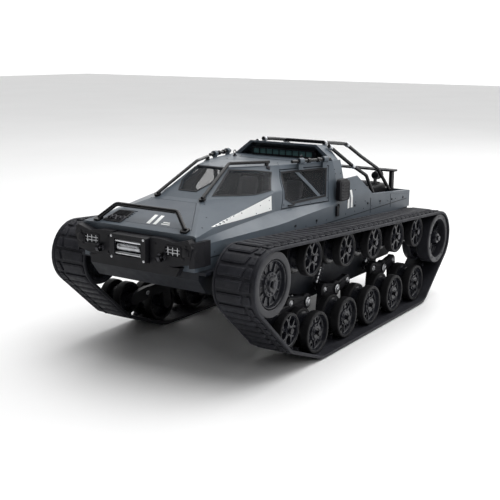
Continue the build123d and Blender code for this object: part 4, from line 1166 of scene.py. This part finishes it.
def add_bumper_pads():
    plates = Build()
    cheek = rounded([(56.5, 113.0), (60.4, 115.0), (60.4, 120.0), (56.5, 122.0), (53.4, 120.0),
                     (53.4, 115.0)], 0.6, 2)
    for _, sign in SIDES:
        for x, z, r in ((26.0, 121.6, 1.0), (26.0, 107.6, 1.0), (55.0, 112.0, 1.0), (57.5, 122.6, 1.0)):
            plates.hex_bolt((sign * x, BUMPER_FACE, z), (0, -1, 0), r, 0.7)
        plates.stack(cheek, [(0, -0.3), (0, 0.5), (0.7, 1.0)], on_bumper(sign, 0.4))
        plates.stack(circle(6.4, 6), [(0, -0.4), (0, 0.7), (0.8, 1.3), (2.0, 1.3), (2.4, 0.8)],
                     lambda a, b, h, s=sign: (s * (63.6 + h * 0.9), -203.0 + a, 116.5 + b))
    plates.piece("bumper_pads", ["black"], "chassis", "black_plastic")


def add_tow_rings():
    hooks = Build()
    x, y, z = TOW_HOLE
    for _, sign in SIDES:
        hooks.tube([(sign * x, y + a, z + b) for a, b in circle(2.9, 32)], 0.72, 10, closed=True)
        hooks.peg((sign * x, -212.2, z), (0, 1, 0), [(-0.5, 2.6), (0, 3.2), (0.4, 3.2)], 24)
        hooks.peg((sign * 30.9, -212.6, z), (sign, 0, 0), [(0, 1.0), (0.4, 1.3), (5.4, 1.3), (5.8, 1.0)], 16)
    hooks.piece("tow_rings", ["dark_steel"], "chassis", "steel_dark")


# ---------------------------------------------------------------- roof, rear deck and interior
LIGHT_BAR_Z, LIGHT_BAR_FACE = 173.0, 26.5
# Start and direction of each collar on the roll cage, on the left side.
CAGE_COLLARS = [((44.0, 46.0, 181.0), (7, 38, -23)), ((37.0, 47.0, 183.4), (0, 23, -2.2)),
                ((51.0, 84.0, 158.0), (7, 38, -23)), ((39.0, 93.0, 178.8), (1, 35, -16.8))]


def add_light_bar():
    """Nine reflector cups behind ten bars and two rails, with end caps."""
    cup = [(0, 0.8), (0.2, 1.1), (1.6, 2.3), (1.9, 2.4), (1.9, 2.1), (0.6, 1.0), (0.6, 0.9)]
    lamps = Build()
    for k in range(9):
        lamps.peg((-32.0 + 8.0 * k, 30.2, LIGHT_BAR_Z), (0, -1, 0), cup, 20)
    lamps.slot = 1
    for k in range(10):
        lamps.stack(box_outline(0.7, 5.4, (-36.0 + 8.0 * k, LIGHT_BAR_Z)), [(0, -3.0), (0, 0.6)],
                    lambda a, b, h: (a, LIGHT_BAR_FACE - h * 0.5, b))
    for z in (169.6, 176.4):
        lamps.stack(rounded(box_outline(75.0, 0.9, (0, z)), 0.3, 1), [(0, -0.4), (0, 0.7), (0.2, 0.9)],
                    lambda a, b, h: (a, LIGHT_BAR_FACE - h * 0.6, b))
    for sign in (1, -1):
        lamps.peg((sign * 38.0, 30.0, LIGHT_BAR_Z), (sign, 0, 0), [(-0.4, 2.4), (0.6, 2.4), (1.0, 1.8)], 20)
    lamps.piece("light_bar_cells", ["steel", "black"], "chassis", "lamp_lens")


def add_cage_joints():
    collar = [(0, 2.0), (0.4, 2.6), (1.6, 2.6), (2.0, 2.2), (2.4, 2.6), (3.6, 2.6), (4.0, 2.0)]
    joints = Build()
    for sign in (1, -1):
        mirror = Vector((sign, 1, 1))
        for at, along in CAGE_COLLARS:
            run = (Vector(along) * mirror).normalized()
            joints.peg(Vector(at) * mirror + run, run, collar, 20)
    joints.piece("cage_joints", ["steel"], "chassis", "steel")


def add_pod_faces():
    """Raised face with five ribs on each air pod, and a hose below it."""
    pads = Build()
    face = rounded(box_outline(19.0, 20.0), 3.0)
    for sign in (1, -1):
        place = facing_side(73.7, (28.5, 139.5), sign)
        pads.stack(face, [(0, -0.4), (0, 0.3), (0.6, 0.7), (1.6, 0.7), (2.0, 0.35)], place)
        for k in range(5):
            rib = rounded(box_outline(12.0, 1.0, (0, -6 + 3 * k)), 0.4, 1)
            pads.stack(rib, [(0, 0.1), (0, 0.8), (0.2, 1.0)], place)
        pads.tube([(sign * 70.4, 22.0, 126.5), (sign * 70.6, 22.0, 123.0)], 1.0, 10)
    pads.piece("pod_faces", ["black"], "chassis", "black_plastic")


def draw_fan(deck, x, y, z):
    """Round shroud with wire rings, spokes and a hub, lying on a flat top at height z."""
    deck.slot = 0
    deck.peg((x, y, z - 0.6), (0, 0, 1), [(0, 12.4), (1.4, 12.4), (1.8, 11.8), (1.8, 10.6), (0.9, 10.2)], 48)
    deck.slot = 1
    for radius in (8.4, 6.0, 3.6):
        deck.tube([(x + a, y + b, z + 1.3) for a, b in circle(radius, 40)], 0.35, 6, closed=True)
    for a, b in zip(circle(1.6, 8), circle(10.6, 8)):
        deck.tube([(x + a[0], y + a[1], z + 1.1), (x + b[0], y + b[1], z + 1.1)], 0.35, 6)
    deck.peg((x, y, z), (0, 0, 1), [(0, 2.2), (1.8, 2.2), (2.2, 1.6)], 24)


def add_rear_deck():
    """Two fans on the engine cover, two exhausts, and ribs on the bed's walls and floor."""
    deck = Build()
    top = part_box("engine_cover")[1].z / MM
    for x in (-24.0, 24.0):
        draw_fan(deck, x, 168, top)
    deck.slot = 0
    muffler = [(0, 3.4), (0.6, 4.4), (5, 4.6), (5.6, 5.2), (13, 5.2), (13.8, 4.4), (14.4, 2.0)]
    for x in (-33.0, 33.0):
        deck.peg((x, 178, 134.5), (0, 1, 0), muffler, 28)
        deck.tube([(x, 180, 131), (x * 1.1, 174, 124), (x * 1.16, 168, 112)], 2.0, 12)
    for x in (-63.6, 63.6):
        for y in (60, 84, 108, 132):
            rib = rounded(box_outline(1.4, 12, (x, y)), 0.5, 1)
            deck.stack(rib, [(0, 104.8), (0, 112), (0.5, 113)], upright)
    for y in range(52, 140, 11):
        rib = rounded(box_outline(116, 2.0, (0, y)), 0.8, 2)
        deck.stack(rib, [(0, 104.7), (0, 105.6), (0.5, 106.0)], upright)
    deck.piece("rear_deck_fittings", ["black", "dark_steel"], "chassis", "black_plastic")


TAIL_FACE = 198


def on_tail(a, b, h):
    """place() for plates that face back on the body's tail."""
    return (a, TAIL_FACE + h, b)


def add_tail():
    """Two tail lamps, bolts, and a ribbed plate between them."""
    tail = Build()
    for sign in (1, -1):
        middle = (sign * 50, 112.5)
        tail.slot = 0
        tail.stack(rounded(box_outline(13, 6, middle), 1.4), [(0, -0.5), (0, 0.9), (0.5, 1.3)], on_tail)
        tail.slot = 1
        tail.stack(rounded(box_outline(10.4, 3.6, middle), 1.0), [(0, 0.8), (0, 1.5), (0.6, 1.9)], on_tail)
        tail.slot = 0
        for z in (104, 109, 114):
            tail.hex_bolt((sign * 34, TAIL_FACE, z), (0, 1, 0), 0.9, 0.7)
    tail.stack(rounded(box_outline(54, 14, (0, 109.5)), 2.0), [(0, -0.5), (0, 0.8), (0.6, 1.2)], on_tail)
    for k in range(6):
        rib = rounded(box_outline(44, 0.9, (0, 104.6 + 2 * k)), 0.4, 1)
        tail.stack(rib, [(0, 0.8), (0, 1.7), (0.2, 1.9)], on_tail)
    tail.piece("tail_plate", ["black", "teal"], "chassis", "black_plastic")


def on_seat_back(a, b, h):
    """place() for plates that lie on the leaning seat backs."""
    return (a, -0.8 + (b - 117.0) * 0.30 - h, b)


def add_seat_pads():
    """Crowned seat and back pads, head rests and side bolsters."""
    seats = Build()
    for x in (-27.0, 27.0):
        pad = rounded(box_outline(24.0, 26.0, (x, -14.0)), 4.0)
        seats.stack(pad, [(0.6, 118.6), (0, 119.8), (0.6, 121.0), (2.2, 121.9), (5.0, 122.4)], upright)
        back = rounded(box_outline(22.0, 30.0, (x, 134.0)), 4.0)
        seats.stack(back, [(0.4, -1.4), (0, 0.0), (0.6, 1.2), (2.2, 2.2), (5.0, 2.8)], on_seat_back)
        head = rounded(box_outline(14.0, 8.4, (x, 154.2)), 2.6)
        seats.stack(head, [(0.4, -2.0), (0, -0.4), (0.5, 0.9), (1.8, 1.8)], on_seat_back)
        for edge in (-9.6, 9.6):
            run = [on_seat_back(x + edge, z, 2.2) for z in (121, 128, 136, 144, 147)]
            seats.tube(run, [1.4, 2.2, 2.3, 2.0, 1.2], 12)
    seats.piece("seat_pads", ["seat"], "chassis", "interior_plastic")


def add_dash_dials():
    dash = Build()
    facing = (0, 0.85, 0.5)
    for x in (18.0, 27.0, 36.0, -27.0):
        dash.slot = 0
        dash.peg((x, -56.4, 129.6), facing, [(-0.5, 3.0), (0.6, 3.0), (0.9, 2.6)], 24)
        dash.slot = 1
        dash.peg((x, -55.9, 130.0), facing, [(-0.2, 2.3), (0.25, 2.3)], 24)
    dash.piece("dash_dials", ["black", "white"], "chassis", "interior_plastic")


for side, sign in SIDES:
    add_belt(side, sign)
add_wheels()
add_axle_caps()
add_shocks()
add_arm_details()
add_windows()
add_body_marks()
add_panel_seams()
add_body_rivets()
add_roof_fittings()
add_hood_vent()
add_winch_details()
add_lamps()
add_bumper_pads()
add_tow_rings()
add_light_bar()
add_cage_joints()
add_pod_faces()
add_rear_deck()
add_tail()
add_seat_pads()
add_dash_dials()

SOFT_EDGE = 0.6 * MM
for node in ("body_shell", "hood_panel", "front_bumper", "winch", "engine_cover", "air_pods", "rear_rack"):
    soften(node, SOFT_EDGE)
